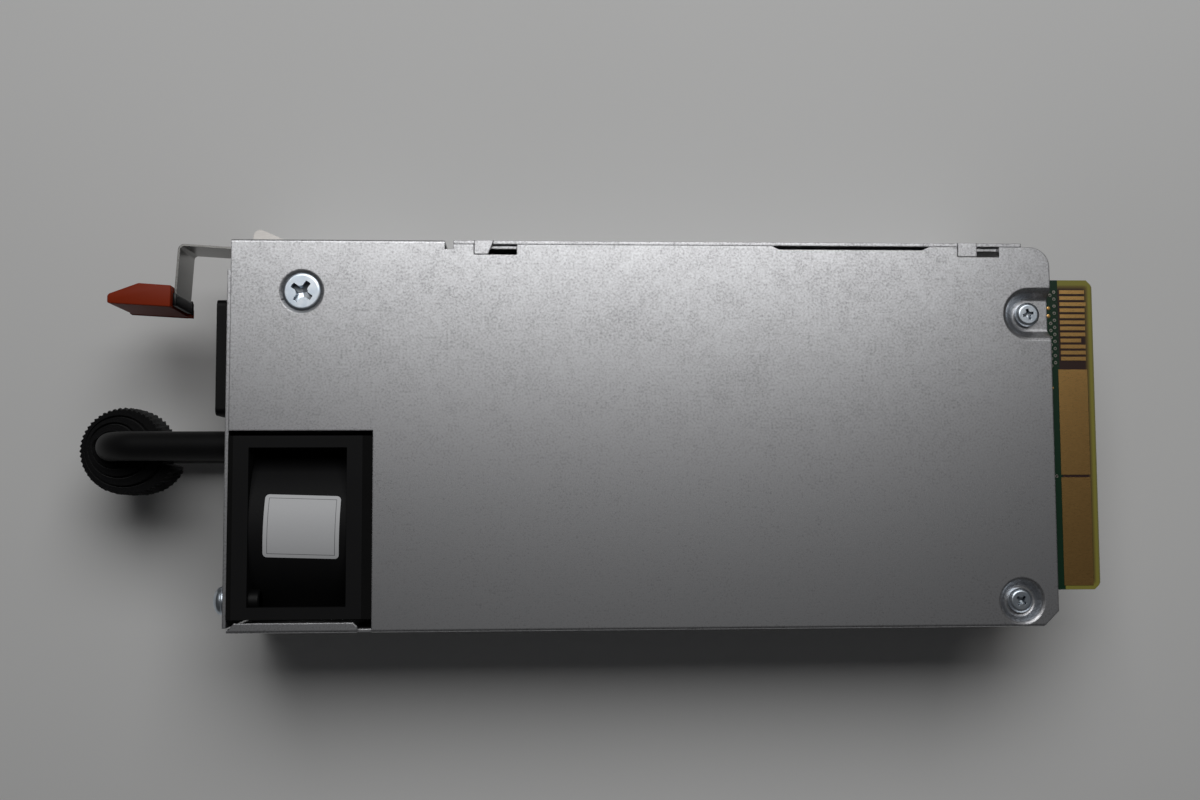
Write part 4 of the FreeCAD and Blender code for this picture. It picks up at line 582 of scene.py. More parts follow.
NODE_FINISHES: Dict[Finish, Tuple[str, ...]] = {
    ZINC_SHEET: ("chassis_tray", "cover_lid", "front_plate"),
    INNER_SHEET: ("rear_grille", "inlet_bracket", "fan_bulkhead"),
    BRIGHT_ZINC: ("board_nuts", "latch_rivets", "fan_bearings", "fan_shaft", "earth_screw",
                  "board_screws", "fan_screws"),
    SPRING_STRIP: ("latch_leaf", "latch_foot"),
    BURNISHED_STEEL: ("latch_barb",),
    AMBER: ("latch_tab",),
    POWDER_COAT: ("handle_bail",),
    BLACK_MOULDING: ("inlet_housing", "fan_rotor", "board_spacers", "fan_plug"),
    GLOSS_MOULDING: ("fan_frame",),
    FOAM: ("fan_gaskets",),
    TAPE: ("cable_strap",),
    LAMINATE: ("main_board", "control_board"),
    GOLD: ("edge_contacts",),
    CLEAR: ("status_lens",),
    FILM: ("insulator_sheet",),
    TINNED: ("inlet_pins", "busbars"),
    SLEEVE: ("inlet_leads", "fan_lead"),
    FERRITE: ("fan_magnet", "transformer_core"),
    COPPER_WIRE: ("fan_stator", "common_mode_chokes", "boost_choke", "transformer_winding",
                  "output_choke"),
    CAN_SLEEVE: ("bulk_capacitors", "output_capacitors"),
    ALUMINIUM: ("primary_heatsink", "secondary_heatsink"),
    YELLOW_CASE: ("x_capacitors", "standby_transformer"),
    COMPOUND: ("mains_relay", "input_fuse", "power_transistors", "bridge_rectifier"),
}


# ----------------------------------------------------------------------------------------------
# Pieces
@dataclass(frozen=True)
class Setting:
    """What a piece belongs to: the body it rides on and the nodes it replaces, with a slot name that
    is not used.
    """

    body: str
    slot: str
    replaces: Tuple[str, ...] = ()


def add_piece(name: str, points: Sequence[Point], faces: Sequence[Sequence[int]], finish: Finish,
              setting: Setting, smooth: float = 35.0, bevel: float = 0.0) -> bpy.types.Object:
    """Make one mesh piece and place it on its body.

    Args:
        name: Name of the piece.
        points: Vertices in the part's frame, in metres.
        faces: Vertex numbers of each face.
        finish: Finish of the whole piece.
        setting: Body, slot and replaced nodes.
        smooth: Sharpest angle, in degrees, that is still shaded smooth.
        bevel: Radius of its edges, in millimetres.

    Returns:
        The new object.
    """
    mesh = bpy.data.meshes.new(name)
    mesh.from_pydata([tuple(point) for point in points], [], [tuple(face) for face in faces])
    work = bmesh.new()
    work.from_mesh(mesh)
    bmesh.ops.remove_doubles(work, verts=work.verts, dist=MERGE)
    if bevel:
        bmesh.ops.bevel(work, geom=work.edges[:], offset=bevel*MM, segments=3, affect="EDGES",
                        profile=0.5, clamp_overlap=True)
    bmesh.ops.recalc_face_normals(work, faces=work.faces)
    work.to_mesh(mesh)
    work.free()
    mesh.shade_smooth()
    mesh.set_sharp_from_angle(angle=math.radians(smooth))
    mesh.materials.append(finish.material())
    piece = bpy.data.objects.new(name, mesh)
    bpy.context.scene.collection.objects.link(piece)
    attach(piece, setting.body)
    if setting.replaces:
        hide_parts(*setting.replaces)
    log.info("%s: %d vertices", name, len(mesh.vertices))
    return piece


def prism(outline: Sequence[Pair], low: float, high: float,
          points: List[Point], faces: List[Face]) -> None:
    """Add a closed upright prism to a mesh.

    Args:
        outline: Corners in millimetres.
        low: Height of its foot, in metres.
        high: Height of its top, in metres.
        points: Vertices to add to, in metres.
        faces: Faces to add to.
    """
    first, count = len(points), len(outline)
    points += [(x*MM, y*MM, level) for level in (low, high) for x, y in outline]
    faces += [tuple(range(first, first + count)), tuple(range(first + count, first + 2*count))]
    faces += [(first + i, first + (i + 1) % count, first + count + (i + 1) % count,
               first + count + i) for i in range(count)]


def ring_faces(first: int, count: int, steps: int, closed: bool) -> List[Face]:
    """Join rings of equal point numbers, one after the other, with four-sided faces.

    Args:
        first: Number of the first ring's first point.
        count: Points in each ring.
        steps: Number of rows of faces.
        closed: Whether the last ring is joined to the first one.

    Returns:
        The faces.
    """
    rows = steps if closed else steps + 1
    return [(first + i*count + k, first + i*count + (k + 1) % count,
             first + (i + 1) % rows*count + (k + 1) % count, first + (i + 1) % rows*count + k)
            for i in range(steps) for k in range(count)]


def spin(profile: Sequence[Pair], centre: Pair, base: float, points: List[Point],
         faces: List[Face], steps: int = 24) -> None:
    """Add a closed turned form to a mesh.

    Args:
        profile: Radius and height of each corner of its closed section, in millimetres.
        centre: Place of its axis, in millimetres.
        base: Height of its nought, in metres.
        points: Vertices to add to, in metres.
        faces: Faces to add to.
        steps: Number of steps round the axis.
    """
    first = len(points)
    for step in range(steps):
        angle = 2*math.pi*step/steps
        points += [((centre[0] + out*math.cos(angle))*MM, (centre[1] + out*math.sin(angle))*MM,
                    base + up*MM) for out, up in profile]
    faces += ring_faces(first, len(profile), steps, closed=True)


def smooth_step(value: float) -> float:
    """Ease a value from nought to one."""
    value = min(max(value, 0.0), 1.0)
    return value*value*(3 - 2*value)


# ----------------------------------------------------------------------------------------------
# Fasteners
@dataclass(frozen=True)
class CrossRecess:
    """Cross recess of a screw: four tapering wings that meet in a deeper middle; millimetres."""

    reach: float
    wing: float
    depth: float
    turn: float = 0.0
    taper: float = 0.2
    rise: float = 0.25
    heart: float = 2.0
    wing_wall: float = 0.1
    heart_wall: float = 0.3
    end_wall: float = 0.14

    def sink(self, across: float, up: float) -> float:
        """Depth of the recess at a point of the head.

        Args:
            across: Distance from the screw's axis, in millimetres.
            up: The same, at right angles.

        Returns:
            Depth in millimetres.
        """
        cosine, sine = math.cos(self.turn), math.sin(self.turn)
        a, b = abs(across*cosine + up*sine), abs(up*cosine - across*sine)
        long, short = max(a, b), min(a, b)
        half = self.wing*(1 - self.taper*long/self.reach)
        inside = max((half - short)/self.wing_wall,
                     (self.wing*self.heart - math.hypot(a, b))/self.heart_wall)
        wall = min(inside, (self.reach - long)/self.end_wall)
        slope = 1 - self.rise*min(long/self.reach, 1.0)
        return self.depth*slope*smooth_step(wall) if wall > 0 else 0.0


@dataclass(frozen=True)
class ScrewShape:
    """Head and shank of one screw, in millimetres, with its top at nought."""

    name: str
    head: float
    crown: float
    rim: Tuple[Pair, ...]
    recess: CrossRecess
    shank: float
    length: float
    pitch: float = 0.7
    flat: float = 0.0
    thread: float = 0.25
    tip: float = 0.5


@dataclass(frozen=True)
class Screws:
    """Cross-recessed screws that stand for the CAD's plain ones; millimetres and degrees.

    The section of the grey ring that paints the shade on the dimple's cone is measured from the edge
    of the earth screw's head.
    """

    finish: Finish = BRIGHT_ZINC
    rings: int = 56
    spokes: int = 180
    earth_crown: float = 0.16
    ring_section: Tuple[Pair, ...] = ((0.71, 0.06), (0.71, -0.05), (-0.25, -0.86),
                                      (-0.25, -0.62), (0.5, 0.02))
    ring_start: float = 206.0
    ring_turn: float = 355.0
    ring_steps: int = 160
    board_radius: float = 2.7
    board_crown: float = 0.6
    fan_radius: float = 3.3
    fan_crown: float = 0.9
    cup_over: float = 0.5

    def angles(self) -> List[float]:
        """Angles of the spokes, in radians."""
        return [2*math.pi*spoke/self.spokes for spoke in range(self.spokes)]

    def heights(self, shape: ScrewShape) -> Iterable[Tuple[float, List[float]]]:
        """Work out the head's top, from the rim inwards.

        Args:
            shape: Sizes of the screw.

        Returns:
            Radius and heights of every ring, in millimetres.
        """
        radius = shape.head/2
        for ring in range(self.rings, 0, -1):
            out = radius*ring/self.rings
            dome = shape.crown*(1 - (max(out/radius - shape.flat, 0.0)/(1 - shape.flat))**2)
            yield out, [dome - shape.recess.sink(out*math.cos(angle), out*math.sin(angle))
                        for angle in self.angles()]

    def profile(self, shape: ScrewShape) -> List[Pair]:
        """Work out the form under the head: its rim, then a threaded shank to its tip.

        Args:
            shape: Sizes of the screw.

        Returns:
            Radius and height of each corner, in millimetres.
        """
        line = list(shape.rim)
        low = shape.rim[-1][1]
        for turn in range(int((shape.length + low)/shape.pitch*2)):
            ridge = shape.shank/2 - (shape.thread if turn % 2 else 0.0)
            line.append((ridge, low - shape.pitch*turn/2))
        line.append((shape.shank/2 - shape.tip, -shape.length))
        return line

    def screw(self, shape: ScrewShape, head: Vector, turned: Matrix, setting: Setting) -> None:
        """Make one screw.

        Args:
            shape: Its sizes.
            head: Top of the head's rim, on the screw's axis, in metres.
            turned: Rotation that takes +Z to the way the head looks.
            setting: Body, slot and replaced nodes.
        """
        top = [[(out*math.cos(a), out*math.sin(a), height)
                for a, height in zip(self.angles(), level)]
               for out, level in self.heights(shape)]
        under = [[(out*math.cos(a), out*math.sin(a), height) for a in self.angles()]
                 for out, height in self.profile(shape)]
        rings = list(reversed(under)) + top
        points = [head + turned @ (Vector(point)*MM) for ring in rings for point in ring]
        count = self.spokes
        faces = ring_faces(0, count, len(rings) - 1, closed=False)
        faces.append(tuple(range(count)))
        points.append(head + turned @ Vector((0, 0, (shape.crown - shape.recess.depth)*MM)))
        last = (len(rings) - 1)*count
        faces += [(last + i, last + (i + 1) % count, len(points) - 1) for i in range(count)]
        add_piece(shape.name, points, faces, self.finish, setting, smooth=40.0)

    def build(self) -> None:
        """Make all of the screws."""
        self.earth_screw()
        self.board_screws()
        self.fan_screws()

    def earth_screw(self) -> None:
        """Make the nearly flat countersunk screw in the tray's dimple, and a grey ring round it that
        paints the shade on the dimple's cone.
        """
        zinc = Setting("case", "zinc_steel", ("earth_screw",))
        low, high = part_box("earth_screw")
        centre = (low + high)/2
        width = (high.x - low.x)/MM
        shape = ScrewShape("earth_screw_head", width, self.earth_crown,
                           rim=((width/2, 0.0), (width/2, -0.22), (2.3, -2.0)),
                           recess=CrossRecess(2.5, 0.66, 2.0, math.radians(55)), shank=4.0,
                           length=(high.z - low.z)/MM - self.earth_crown, pitch=0.8, flat=0.86)
        self.screw(shape, Vector((centre.x, centre.y, high.z - self.earth_crown*MM)),
                   Matrix.Identity(3), zinc)
        self.shade_ring(Vector((centre.x, centre.y, high.z)), width/2)

    def shade_ring(self, top: Vector, inner: float) -> None:
        """Make a split conical grey ring in the dimple round the earth screw's head: painted shade on
        the dimple's cone.

        Args:
            top: Top of the head, on its axis, in metres.
            inner: Radius of the head, in millimetres.
        """
        first, turn = math.radians(self.ring_start), math.radians(self.ring_turn)
        steps, count = self.ring_steps, len(self.ring_section)
        points = [top + Vector(((inner + out)*math.cos(first + turn*i/steps),
                                (inner + out)*math.sin(first + turn*i/steps), up))*MM
                  for i in range(steps + 1) for out, up in self.ring_section]
        faces = ring_faces(0, count, steps, closed=False)
        faces += [tuple(range(count)), tuple(range(steps*count, (steps + 1)*count))]
        add_piece("earth_shade_ring", points, faces, SHADE_RING_STEEL, Setting("case", "zinc_steel"))

    def board_screws(self) -> None:
        """Make the two pan heads in the pressed pockets at the card end."""
        low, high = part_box("board_screws")
        setting = Setting("case", "zinc_steel", ("board_screws",))
        radius = self.board_radius*MM
        centres = ((high.x - radius, high.y - radius), (low.x + radius, low.y + radius))
        for number, (x, y) in enumerate(centres, 1):
            shape = ScrewShape(f"board_screw_{number}", 5.4, self.board_crown,
                               rim=((2.7, 0.0), (2.7, -0.35), (2.55, -1.1), (1.5, -1.1)),
                               recess=CrossRecess(1.25, 0.36, 1.15, math.radians(35*number - 20)),
                               shank=3.0, length=(high.z - low.z)/MM - self.board_crown,
                               pitch=0.5, flat=0.72)
            self.screw(shape, Vector((x, y, high.z - self.board_crown*MM)), Matrix.Identity(3),
                       setting)

    def fan_screws(self) -> None:
        """Make the washer heads on the front plate that hold the fan.

        The box is one head wide, so the third and fourth pieces stand where the first two do.
        """
        low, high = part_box("fan_screws")
        setting = Setting("case", "zinc_steel", ("fan_screws",))
        radius = self.fan_radius*MM
        looks_out = Euler((0, -math.pi/2, 0)).to_matrix()
        spots = [(y, z) for y in (low.y + radius, high.y - radius)
                 for z in (low.z + radius, high.z - radius)]
        for number, (y, z) in enumerate(spots, 1):
            shape = ScrewShape(f"fan_screw_{number}", 5.8, self.fan_crown,
                               rim=((2.9, 0.0), (3.1, -0.5), (3.1, -0.9), (3.3, -1.1),
                                    (3.3, -1.5), (1.7, -1.5)),
                               recess=CrossRecess(1.7, 0.46, 1.3, math.radians(31*number)),
                               shank=3.4, length=(high.x - low.x)/MM - self.fan_crown,
                               pitch=0.7, flat=0.45)
            self.screw(shape, Vector((low.x + self.fan_crown*MM, y, z)), looks_out, setting)
        self.thread_cups(spots)

    def thread_cups(self, spots: Sequence[Pair]) -> None:
        """Make the moulded cups on the fan's flange that cover the screws' ends.

        Args:
            spots: Side place and height of each screw, in metres.
        """
        frame_low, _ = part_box("fan_frame")
        _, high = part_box("fan_screws")
        reach = (high.x - frame_low.x)/MM + self.cup_over
        points: List[Point] = []
        faces: List[Face] = []
        for y, z in spots:
            spin(((0.0, 1.0), (2.5, 1.0), (2.4, reach - 0.3), (2.1, reach), (0.0, reach)),
                 (y/MM, z/MM), frame_low.x, points, faces)
        points = [(x, y, z) for y, z, x in points]
        add_piece("fan_thread_cups", points, faces, BLACK_MOULDING,
                  Setting("case", "black_plastic"))


# ----------------------------------------------------------------------------------------------
# Strap and release tab
@dataclass
class RolledStrap:
    """Hook-and-loop tape rolled up round the handle's bar; millimetres and turns."""

    thick: float = 0.86
    rib: float = 0.62
    inner_rib: float = 0.03
    pitch: float = 1.1
    slant: float = 0.12
    slant_run: float = 12.0
    crest: float = 0.7
    thinning: float = 0.28
    ribbed: float = 1.2
    rib_rise: float = 0.25
    bar_radius: float = 3.32
    bar_in: float = 3.25
    roll_in: float = 10.1
    inner: float = 3.8
    outer: float = 9.02
    opened: float = 3.0
    slack: float = 0.1
    turns: float = 3.45
    lift_from: float = 3.22
    lift: float = 1.9
    lift_gap: float = 0.2
    touch: float = 0.88
    layer_gap: float = 0.02
    step: float = 0.15
    samples: int = 6000
    ahead: float = 0.002
    levels: int = 9

    def __post_init__(self) -> None:
        """Find the strap's box, the handle's bar and the middle of the roll."""
        self.low, self.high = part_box("cable_strap")
        bail_low, bail_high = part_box("handle_bail")
        self.bar = (bail_low.x/MM + self.bar_in, (bail_low.y + bail_high.y)/2/MM)
        self.roll = (self.low.x/MM + self.roll_in, self.high.y/MM - self.roll_in)

    def lifted(self, turn: float) -> float:
        """Share of the free end's lift that is reached after that many turns."""
        return smooth_step((turn - self.lift_from)/(self.turns - self.lift_from))

    def centre_line(self, turn: float) -> Pair:
        """Find a point of the tape's centre line.

        Args:
            turn: Turns from the inner end.

        Returns:
            The point, in millimetres.
        """
        opened = min(max(turn, 0.0)/self.opened, 1.0)
        if opened < 1.0:
            opened += self.slack*opened*math.sin(math.pi*turn)**2
        radius = self.inner + (self.outer - self.inner)*opened
        if turn > self.lift_from:
            radius += self.lift*self.lifted(turn)
        angle = math.pi + 2*math.pi*turn
        x = self.bar[0] + (self.roll[0] - self.bar[0])*opened + radius*math.cos(angle)
        y = self.bar[1] + (self.roll[1] - self.bar[1])*opened + radius*math.sin(angle)
        return x, y

    def stations(self) -> Tuple[List[float], float]:
        """Space points evenly along the centre line.

        Returns:
            Turns at the points, and the line's length in millimetres.
        """
        kept, run, length, last = [0.0], 0.0, 0.0, self.centre_line(0.0)
        for number in range(1, self.samples + 1):
            turn = self.turns*number/self.samples
            point = self.centre_line(turn)
            step = math.dist(point, last)
            run += step
            length += step
            last = point
            if run >= self.step:
                kept.append(turn)
                run -= self.step
        return kept, length

    def side(self, turn: float, away: float) -> Pair:
        """Find a point beside the centre line.

        Args:
            turn: Turns from the inner end.
            away: Distance outwards, in millimetres.

        Returns:
            The point, in millimetres.
        """
        (x, y), (ahead_x, ahead_y) = self.centre_line(turn), self.centre_line(turn + self.ahead)
        run = math.hypot(ahead_x - x, ahead_y - y)
        return x + (ahead_y - y)/run*away, y - (ahead_x - x)/run*away

    def inner_face(self, turn: float) -> Pair:
        """Find a point of the inner face: close on the bar at first, then on the turn below.

        Args:
            turn: Turns from the inner end.

        Returns:
            The point, in millimetres.
        """
        half = self.thick/2
        x, y = self.side(turn, -half)
        angle = math.pi + 2*math.pi*turn
        if turn < 1:
            x, y = (self.bar[0] + self.bar_radius*math.cos(angle),
                    self.bar[1] + self.bar_radius*math.sin(angle))
        under_x, under_y = self.side(turn - 1, half + self.layer_gap)
        share = smooth_step((turn - self.touch)/(1 - self.touch))
        share *= 1 - self.lift_gap*self.lifted(turn)
        return x + (under_x - x)*share, y + (under_y - y)*share

    def section(self, number: int, turn: float, end: int) -> List[Point]:
        """Closed outline of the tape at one station: up its outer face, then down its inner one.

        Args:
            number: Station's number.
            turn: Its turn.
            end: Number of the last station.

        Returns:
            Points in metres.
        """
        base, top = self.low.z/MM, self.high.z/MM
        x, y = self.centre_line(turn)
        ahead = self.side(turn, 1.0)
        out = Vector((ahead[0] - x, ahead[1] - y))
        outer, inner = Vector(self.side(turn, self.thick/2)), Vector(self.inner_face(turn))
        middle, half = (outer + inner)/2, (outer - inner)/2
        outermost = smooth_step((turn - self.turns + self.ribbed)/self.rib_rise)
        rib = self.inner_rib + (self.rib - self.inner_rib)*outermost
        rib *= smooth_step((end - number)*self.step)
        up, down = [], []
        for level in range(self.levels):
            share = level/(self.levels - 1)
            edge = 1 - self.thinning*(2*share - 1)**8
            phase = (number*self.step + self.slant*(share - 0.5)*self.slant_run)/self.pitch % 1.0
            saw = phase/self.crest if phase < self.crest else (1 - phase)/(1 - self.crest)
            z = (base + (top - base)*share)*MM
            crest = middle + half*edge + out*rib*saw*edge
            trough = middle - half*edge
            up.append((crest.x*MM, crest.y*MM, z))
            down.append((trough.x*MM, trough.y*MM, z))
        return up + down[::-1]

    def build(self) -> None:
        turns, length = self.stations()
        last = len(turns) - 1
        points = [point for number, turn in enumerate(turns)
                  for point in self.section(number, turn, last)]
        around = 2*self.levels
        faces = ring_faces(0, around, last, closed=False)
        faces.append(tuple(range(around)))
        faces.append(tuple(last*around + i for i in range(around)))
        strap = add_piece("rolled_strap", points, faces, TAPE,
                          Setting("case", "strap_cloth", ("cable_strap",)), smooth=50.0)


@dataclass
class ReleaseTab:
    """Moulded release tab, with a black piece of painted shade where the leaf bends into it;
    millimetres.

    Sizes are measured inwards from the box of the CAD's plain tab.
    """

    end: float = 1.18
    end_up: float = 0.05
    lean: float = 0.15
    draft: float = 0.7
    draft_from: float = 0.3
    shoulder: float = 6.7
    crown: float = 0.06
    drop: float = 0.54
    nose: float = 0.4
    nose_down: float = 2.4
    front: float = 0.02
    front_down: float = 2.85
    chin: float = 1.05
    heel: Pair = (0.4, 0.8)
    foot: float = 1.9
    foot_start: float = 1.0
    foot_end: float = 0.6
    foot_up: Pair = (0.1, 0.02)
    foot_gap: float = 0.02
    lip: float = 1.5
    lip_up: float = 0.05
    edge: float = 0.3
    root_start: float = 0.2
    root_end: float = 0.3
    root_low: float = 0.6
    root_high: float = 3.42
    root_chamfer: Pair = (0.2, 0.6)
    root_up: float = 0.1
    root_reach: Pair = (1.0, 0.3)
    root_edge: float = 0.22

    def __post_init__(self) -> None:
        """Find the boxes of the plain tab and of the leaf."""
        self.low, self.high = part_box("latch_tab")
        self.leaf_low, self.leaf_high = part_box("latch_leaf")

    def outline(self) -> List[Pair]:
        """Outline of the tab's main block, anticlockwise from its lower right corner."""
        left, low = self.low.x/MM, self.low.y/MM
        right, high = self.high.x/MM, self.high.y/MM
        return [(right - self.end, low + self.end_up),
                (right - self.end + self.lean, high - self.drop),
                (left + self.shoulder, high - self.crown),
                (left + self.nose, high - self.nose_down),
                (left + self.front, high - self.front_down), (left + self.front, low + self.chin),
                (left + self.heel[0], low + self.heel[1])]

    def build(self) -> None:
        """Make the tab, then the black piece of painted shade at the leaf's root."""
        points: List[Point] = []
        faces: List[Face] = []
        prism(self.outline(), self.low.z, self.high.z, points, faces)
        right, low = self.high.x/MM, self.low.y/MM
        inset = self.high.x - (self.end + self.draft_from)*MM
        points = [(x - self.draft*MM if x > inset and z < self.high.z else x, y, z)
                  for x, y, z in points]
        start, end = right - self.end - self.foot_start, right - self.foot_end
        prism([(start, low + self.foot_up[0]), (end, low + self.foot_up[1]), (end, low + self.lip),
               (start, low + self.lip + self.lip_up)],
              self.low.z + self.foot_gap*MM, self.low.z + self.foot*MM, points, faces)
        add_piece("release_tab", points, faces, AMBER,
                  Setting("latch", "amber_plastic", ("latch_tab",)), bevel=self.edge)
        self.root_shade(right, low)

    def root_shade(self, right: float, low: float) -> None:
        """Make the black piece round the leaf's end: painted shade where the leaf bends into the tab.

        Args:
            right: Right side of the plain tab, in millimetres.
            low: Its lower side, in millimetres.
        """
        points: List[Point] = []
        faces: List[Face] = []
        start, end = right - self.end - self.root_start, right - self.root_end
        foot, top = low + self.root_low, low + self.root_high
        prism([(start, foot), (end, foot), (end, top - self.root_chamfer[1]),
               (end - self.root_chamfer[0], top), (start, top + self.root_up)],
              self.leaf_low.z - self.root_reach[0]*MM, self.leaf_high.z + self.root_reach[1]*MM,
              points, faces)
        add_piece("leaf_root_shade", points, faces, LEAF_ROOT_SHADE, Setting("latch", "black_plastic"),
                  bevel=self.root_edge)


# ----------------------------------------------------------------------------------------------
# Board detail and label
@dataclass
class BoardDetail:
    """Plated vias and probe pads in the solder mask beside the card edge; millimetres.

    Places are measured in from the card's end and down from its first row.
    """

    pitch: float = 1.62
    rows: int = 11
    start: float = 0.43
    outer_column: float = 9.05
    inner_column: float = 9.95
    inner_shift: float = 0.45
    bare_rows: Tuple[int, ...] = (1, 2, 3)
    tented_column: float = 8.55
    tented_shift: float = 0.5
    lone_via: Pair = (9.54, 42.0)
    pads: Tuple[Pair, ...] = ((10.35, 3.77), (10.4, 5.55))
    dot: Pair = (9.85, 22.0)
    ring_section: Tuple[Pair, ...] = ((0.17, 0.002), (0.38, 0.002), (0.35, 0.035), (0.2, 0.035))
    bore_section: Tuple[Pair, ...] = ((0.0, 0.001), (0.17, 0.001), (0.16, 0.014), (0.0, 0.014))
    pad_section: Tuple[Pair, ...] = ((0.0, 0.001), (0.45, 0.001), (0.42, 0.02), (0.3, 0.03),
                                     (0.0, 0.032))
    dot_section: Tuple[Pair, ...] = ((0.0, 0.001), (0.26, 0.001), (0.22, 0.02), (0.0, 0.022))

    def __post_init__(self) -> None:
        """Find the board's top and end, and the place of the first row."""
        _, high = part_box("main_board")
        _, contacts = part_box("edge_contacts")
        self.top = high.z
        self.end = high.x/MM
        self.first = contacts.y/MM - self.start

    def add(self, name: str, profile: Sequence[Pair], spots: Sequence[Pair], finish: Finish,
            slot: str) -> None:
        """Make one piece that has the same turned form at several spots.

        Args:
            name: Name of the piece.
            profile: Radius and height of each corner of the form, in millimetres.
            spots: Place of each form.
            finish: Finish of the piece.
            slot: Material slot of the piece; not used.
        """
        points: List[Point] = []
        faces: List[Face] = []
        for x, y in spots:
            spin(profile, (self.end - x, self.first - y), self.top, points, faces)
        add_piece(name, points, faces, finish, Setting("case", slot))

    def build(self) -> None:
        """Make the vias' rings, charcoal discs that paint the shade in their bores, and the pads."""
        rings = [(self.outer_column, self.pitch*row) for row in range(self.rows)]
        rings.append(self.lone_via)
        rings += [(self.inner_column, self.pitch*(row + self.inner_shift))
                  for row in range(self.rows) if row not in self.bare_rows]
        tented = [(self.tented_column, self.pitch*(row + self.tented_shift))
                  for row in range(self.rows)]
        self.add("via_rings", self.ring_section, rings, TINNED, "tinned_brass")
        # Charcoal discs in every via: painted shade in the holes.
        self.add("via_bores", self.bore_section, rings + tented, FERRITE, "laminate")
        self.add("probe_pads", self.pad_section, self.pads, GOLD, "gold_plate")
        self.add("probe_dot", self.dot_section, [self.dot], GOLD, "gold_plate")


@dataclass
class FanLabel:
    """Plain label that is stuck over the crown of the fan's duct; millimetres and degrees."""

    length: float = 16.4
    width: float = 13.9
    corner: float = 0.9
    thick: float = 0.09
    film_gap: float = 0.02
    turn: float = -1.9
    shift: Pair = (0.85, 0.1)
    duct: float = 19.4
    steps: int = 44

    def __post_init__(self) -> None:
        """Find the label's middle over the fan's axis."""
        low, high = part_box("fan_frame")
        self.centre = (low + high)/2 + Vector((*self.shift, 0))*MM

    def outline_point(self, u: float, v: float) -> Pair:
        """Take a square's point to the label's rounded outline.

        Args:
            u: Place along the square, from minus one to one.
            v: Place across it, from minus one to one.

        Returns:
            The point, in millimetres.
        """
        half_x, half_y = self.length/2, self.width/2
        x, y = u*half_x, v*half_y
        over_x, over_y = abs(x) - half_x + self.corner, abs(y) - half_y + self.corner
        if over_x > 0 and over_y > 0:
            pull = max(over_x, over_y)/math.hypot(over_x, over_y)
            x = math.copysign(half_x - self.corner + over_x*pull, x)
            y = math.copysign(half_y - self.corner + over_y*pull, y)
        return x, y

    def layer(self, lift: float) -> List[Point]:
        """Bend one face of the label round the duct.

        Args:
            lift: Height over the duct, in millimetres.

        Returns:
            Its points, row by row, in metres.
        """
        turn = math.radians(self.turn)
        reach = (self.duct + lift)*MM
        points: List[Point] = []
        for row in range(self.steps + 1):
            for column in range(self.steps + 1):
                x, y = self.outline_point(2*column/self.steps - 1, 2*row/self.steps - 1)
                x, y = (x*math.cos(turn) - y*math.sin(turn), x*math.sin(turn) + y*math.cos(turn))
                angle = y/self.duct
                points.append((self.centre.x + x*MM, self.centre.y + reach*math.sin(angle),
                               self.centre.z + reach*math.cos(angle)))
        return points

    def build(self) -> None:
        """Make the label."""
        steps, count = self.steps, self.steps + 1
        points = self.layer(self.film_gap) + self.layer(self.thick)
        sheet = count*count
        faces: List[Face] = []
        for row in range(steps):
            for column in range(steps):
                a = row*count + column
                faces.append((a, a + count, a + count + 1, a + 1))
                faces.append((sheet + a, sheet + a + 1, sheet + a + count + 1, sheet + a + count))
        rim = (list(range(count)) + [i*count + steps for i in range(1, count)]
               + [steps*count + i for i in range(steps - 1, -1, -1)]
               + [i*count for i in range(steps - 1, 0, -1)])
        faces += [(a, b, sheet + b, sheet + a) for a, b in zip(rim, rim[1:] + rim[:1])]
        # Printed polyester: a pale satin face that follows the duct's curve.
        face = LabelFace("plain_polyester_label", "#d1d2d4", 0.5,
                         centre=tuple(self.centre), turn=self.turn,
                         half=(self.length/2*MM, self.width/2*MM))
        add_piece("fan_label", points, faces, face, Setting("case", "clear_plastic"))


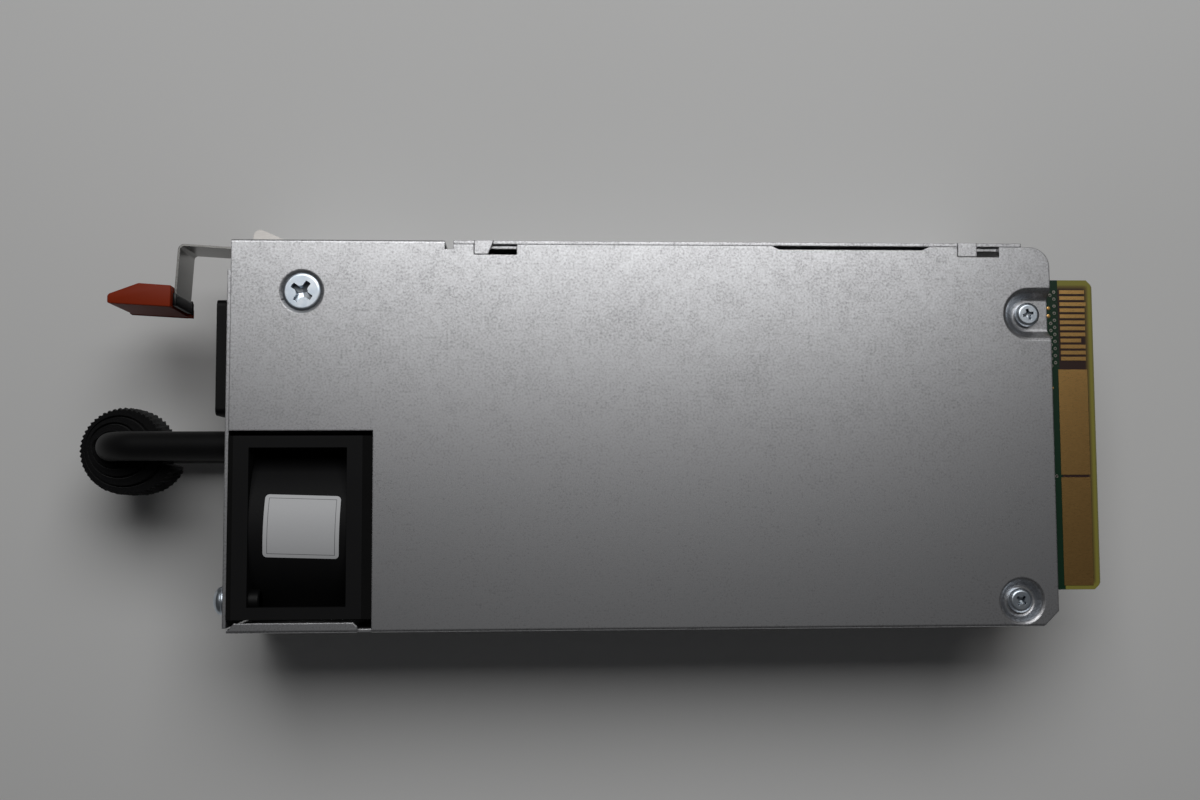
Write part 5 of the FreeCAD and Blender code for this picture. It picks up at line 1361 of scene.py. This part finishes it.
# ----------------------------------------------------------------------------------------------
# Studio
@dataclass(frozen=True)
class Studio:
    """Pale floor, one soft overhead panel, a dim room and the camera; metres, watts, degrees."""

    floor_half: float = 1.6
    floor_drop: float = 0.0005
    floor_light: str = "#e6e6e5"
    floor_dark: str = "#e2e2e1"
    panel_spot: Point = (0.01, 0.385, 0.645)
    panel_aim: Point = (0.0, 0.11, 0.02)
    panel_size: Pair = (0.62, 0.46)
    panel_power: float = 2.82
    room: str = "#dcdde0"
    room_strength: float = 0.045
    lens: float = 40.1
    sensor: float = 36.0
    camera_spot: Point = (-0.02603, -0.01366, 0.33415)
    camera_turn: Point = (4.1121, -2.9974, -0.2281)

    def floor(self) -> None:
        """Lay a matt pale floor under the supply."""
        half = self.floor_half
        mesh = bpy.data.meshes.new("studio_floor")
        mesh.from_pydata([(-half, -half, 0), (half, -half, 0), (half, half, 0), (-half, half, 0)],
                         [], [(0, 1, 2, 3)])
        # Matt painted board: an even pale ground that keeps a soft shadow.
        made = bpy.data.materials.new("matt_pale_board")
        made.use_nodes = True
        tree = made.node_tree
        tree.nodes.clear()
        place = add_node(tree, "NodeTexCoord").outputs["Object"]
        drift = add_node(tree, "NodeTexNoise", {"Scale": 6.0, "Detail": 2.0}, {"Vector": place})
        tone = add_node(tree, "NodeValToRGB", links={"Fac": drift.outputs["Fac"]})
        set_stops(tone, ((0.3, self.floor_dark), (0.7, self.floor_light)))
        shader = add_node(tree, "NodeBsdfPrincipled", {"Roughness": 0.8},
                          {"Base Color": tone.outputs[0]})
        add_node(tree, "NodeOutputMaterial", links={"Surface": shader.outputs[0]})
        mesh.materials.append(made)
        floor = bpy.data.objects.new("studio_floor", mesh)
        bpy.context.scene.collection.objects.link(floor)
        floor.location.z = -self.floor_drop

    def panel(self) -> None:
        """Hang the soft panel over the supply."""
        data = bpy.data.lights.new("overhead_panel", "AREA")
        data.shape = "RECTANGLE"
        data.size, data.size_y = self.panel_size
        data.energy = self.panel_power
        lamp = bpy.data.objects.new("overhead_panel", data)
        bpy.context.scene.collection.objects.link(lamp)
        lamp.location = self.panel_spot
        aim = Vector(self.panel_aim) - Vector(self.panel_spot)
        lamp.rotation_euler = aim.to_track_quat("-Z", "Y").to_euler()

    def world(self) -> None:
        """Fill the room with dim grey light."""
        world = bpy.data.worlds.new("dim_room")
        world.use_nodes = True
        tree = world.node_tree
        tree.nodes.clear()
        room = add_node(tree, "NodeBackground",
                        {"Color": linear(self.room), "Strength": self.room_strength})
        add_node(tree, "NodeOutputWorld", links={"Surface": room.outputs[0]})
        bpy.context.scene.world = world

    def camera(self) -> None:
        """Look down on the chassis face from above, a few degrees off square."""
        data = bpy.data.cameras.new("camera")
        data.lens = self.lens
        data.sensor_width = self.sensor
        camera = bpy.data.objects.new("camera", data)
        bpy.context.scene.collection.objects.link(camera)
        camera.location = self.camera_spot
        camera.rotation_euler = [math.radians(angle) for angle in self.camera_turn]
        bpy.context.scene.camera = camera

    def build(self) -> None:
        """Set up the whole studio."""
        self.floor()
        self.panel()
        self.world()
        self.camera()
        bpy.context.scene.view_settings.view_transform = "Standard"


def finish_nodes() -> None:
    """Give every CAD node its finish."""
    for finish, names in NODE_FINISHES.items():
        for name in names:
            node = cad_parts[name]
            node.data.materials.clear()
            node.data.materials.append(finish.material())
    missing = set(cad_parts) - {name for names in NODE_FINISHES.values() for name in names}
    log.info("nodes without a finish: %s", sorted(missing))


def main() -> None:
    """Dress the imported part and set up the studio."""
    logging.basicConfig(level=logging.INFO, format="%(message)s")
    finish_nodes()
    for part in (Screws, RolledStrap, ReleaseTab, BoardDetail, FanLabel, Studio):
        log.info("building %s", part.__name__)
        part().build()


if __name__ == "__main__":
    main()
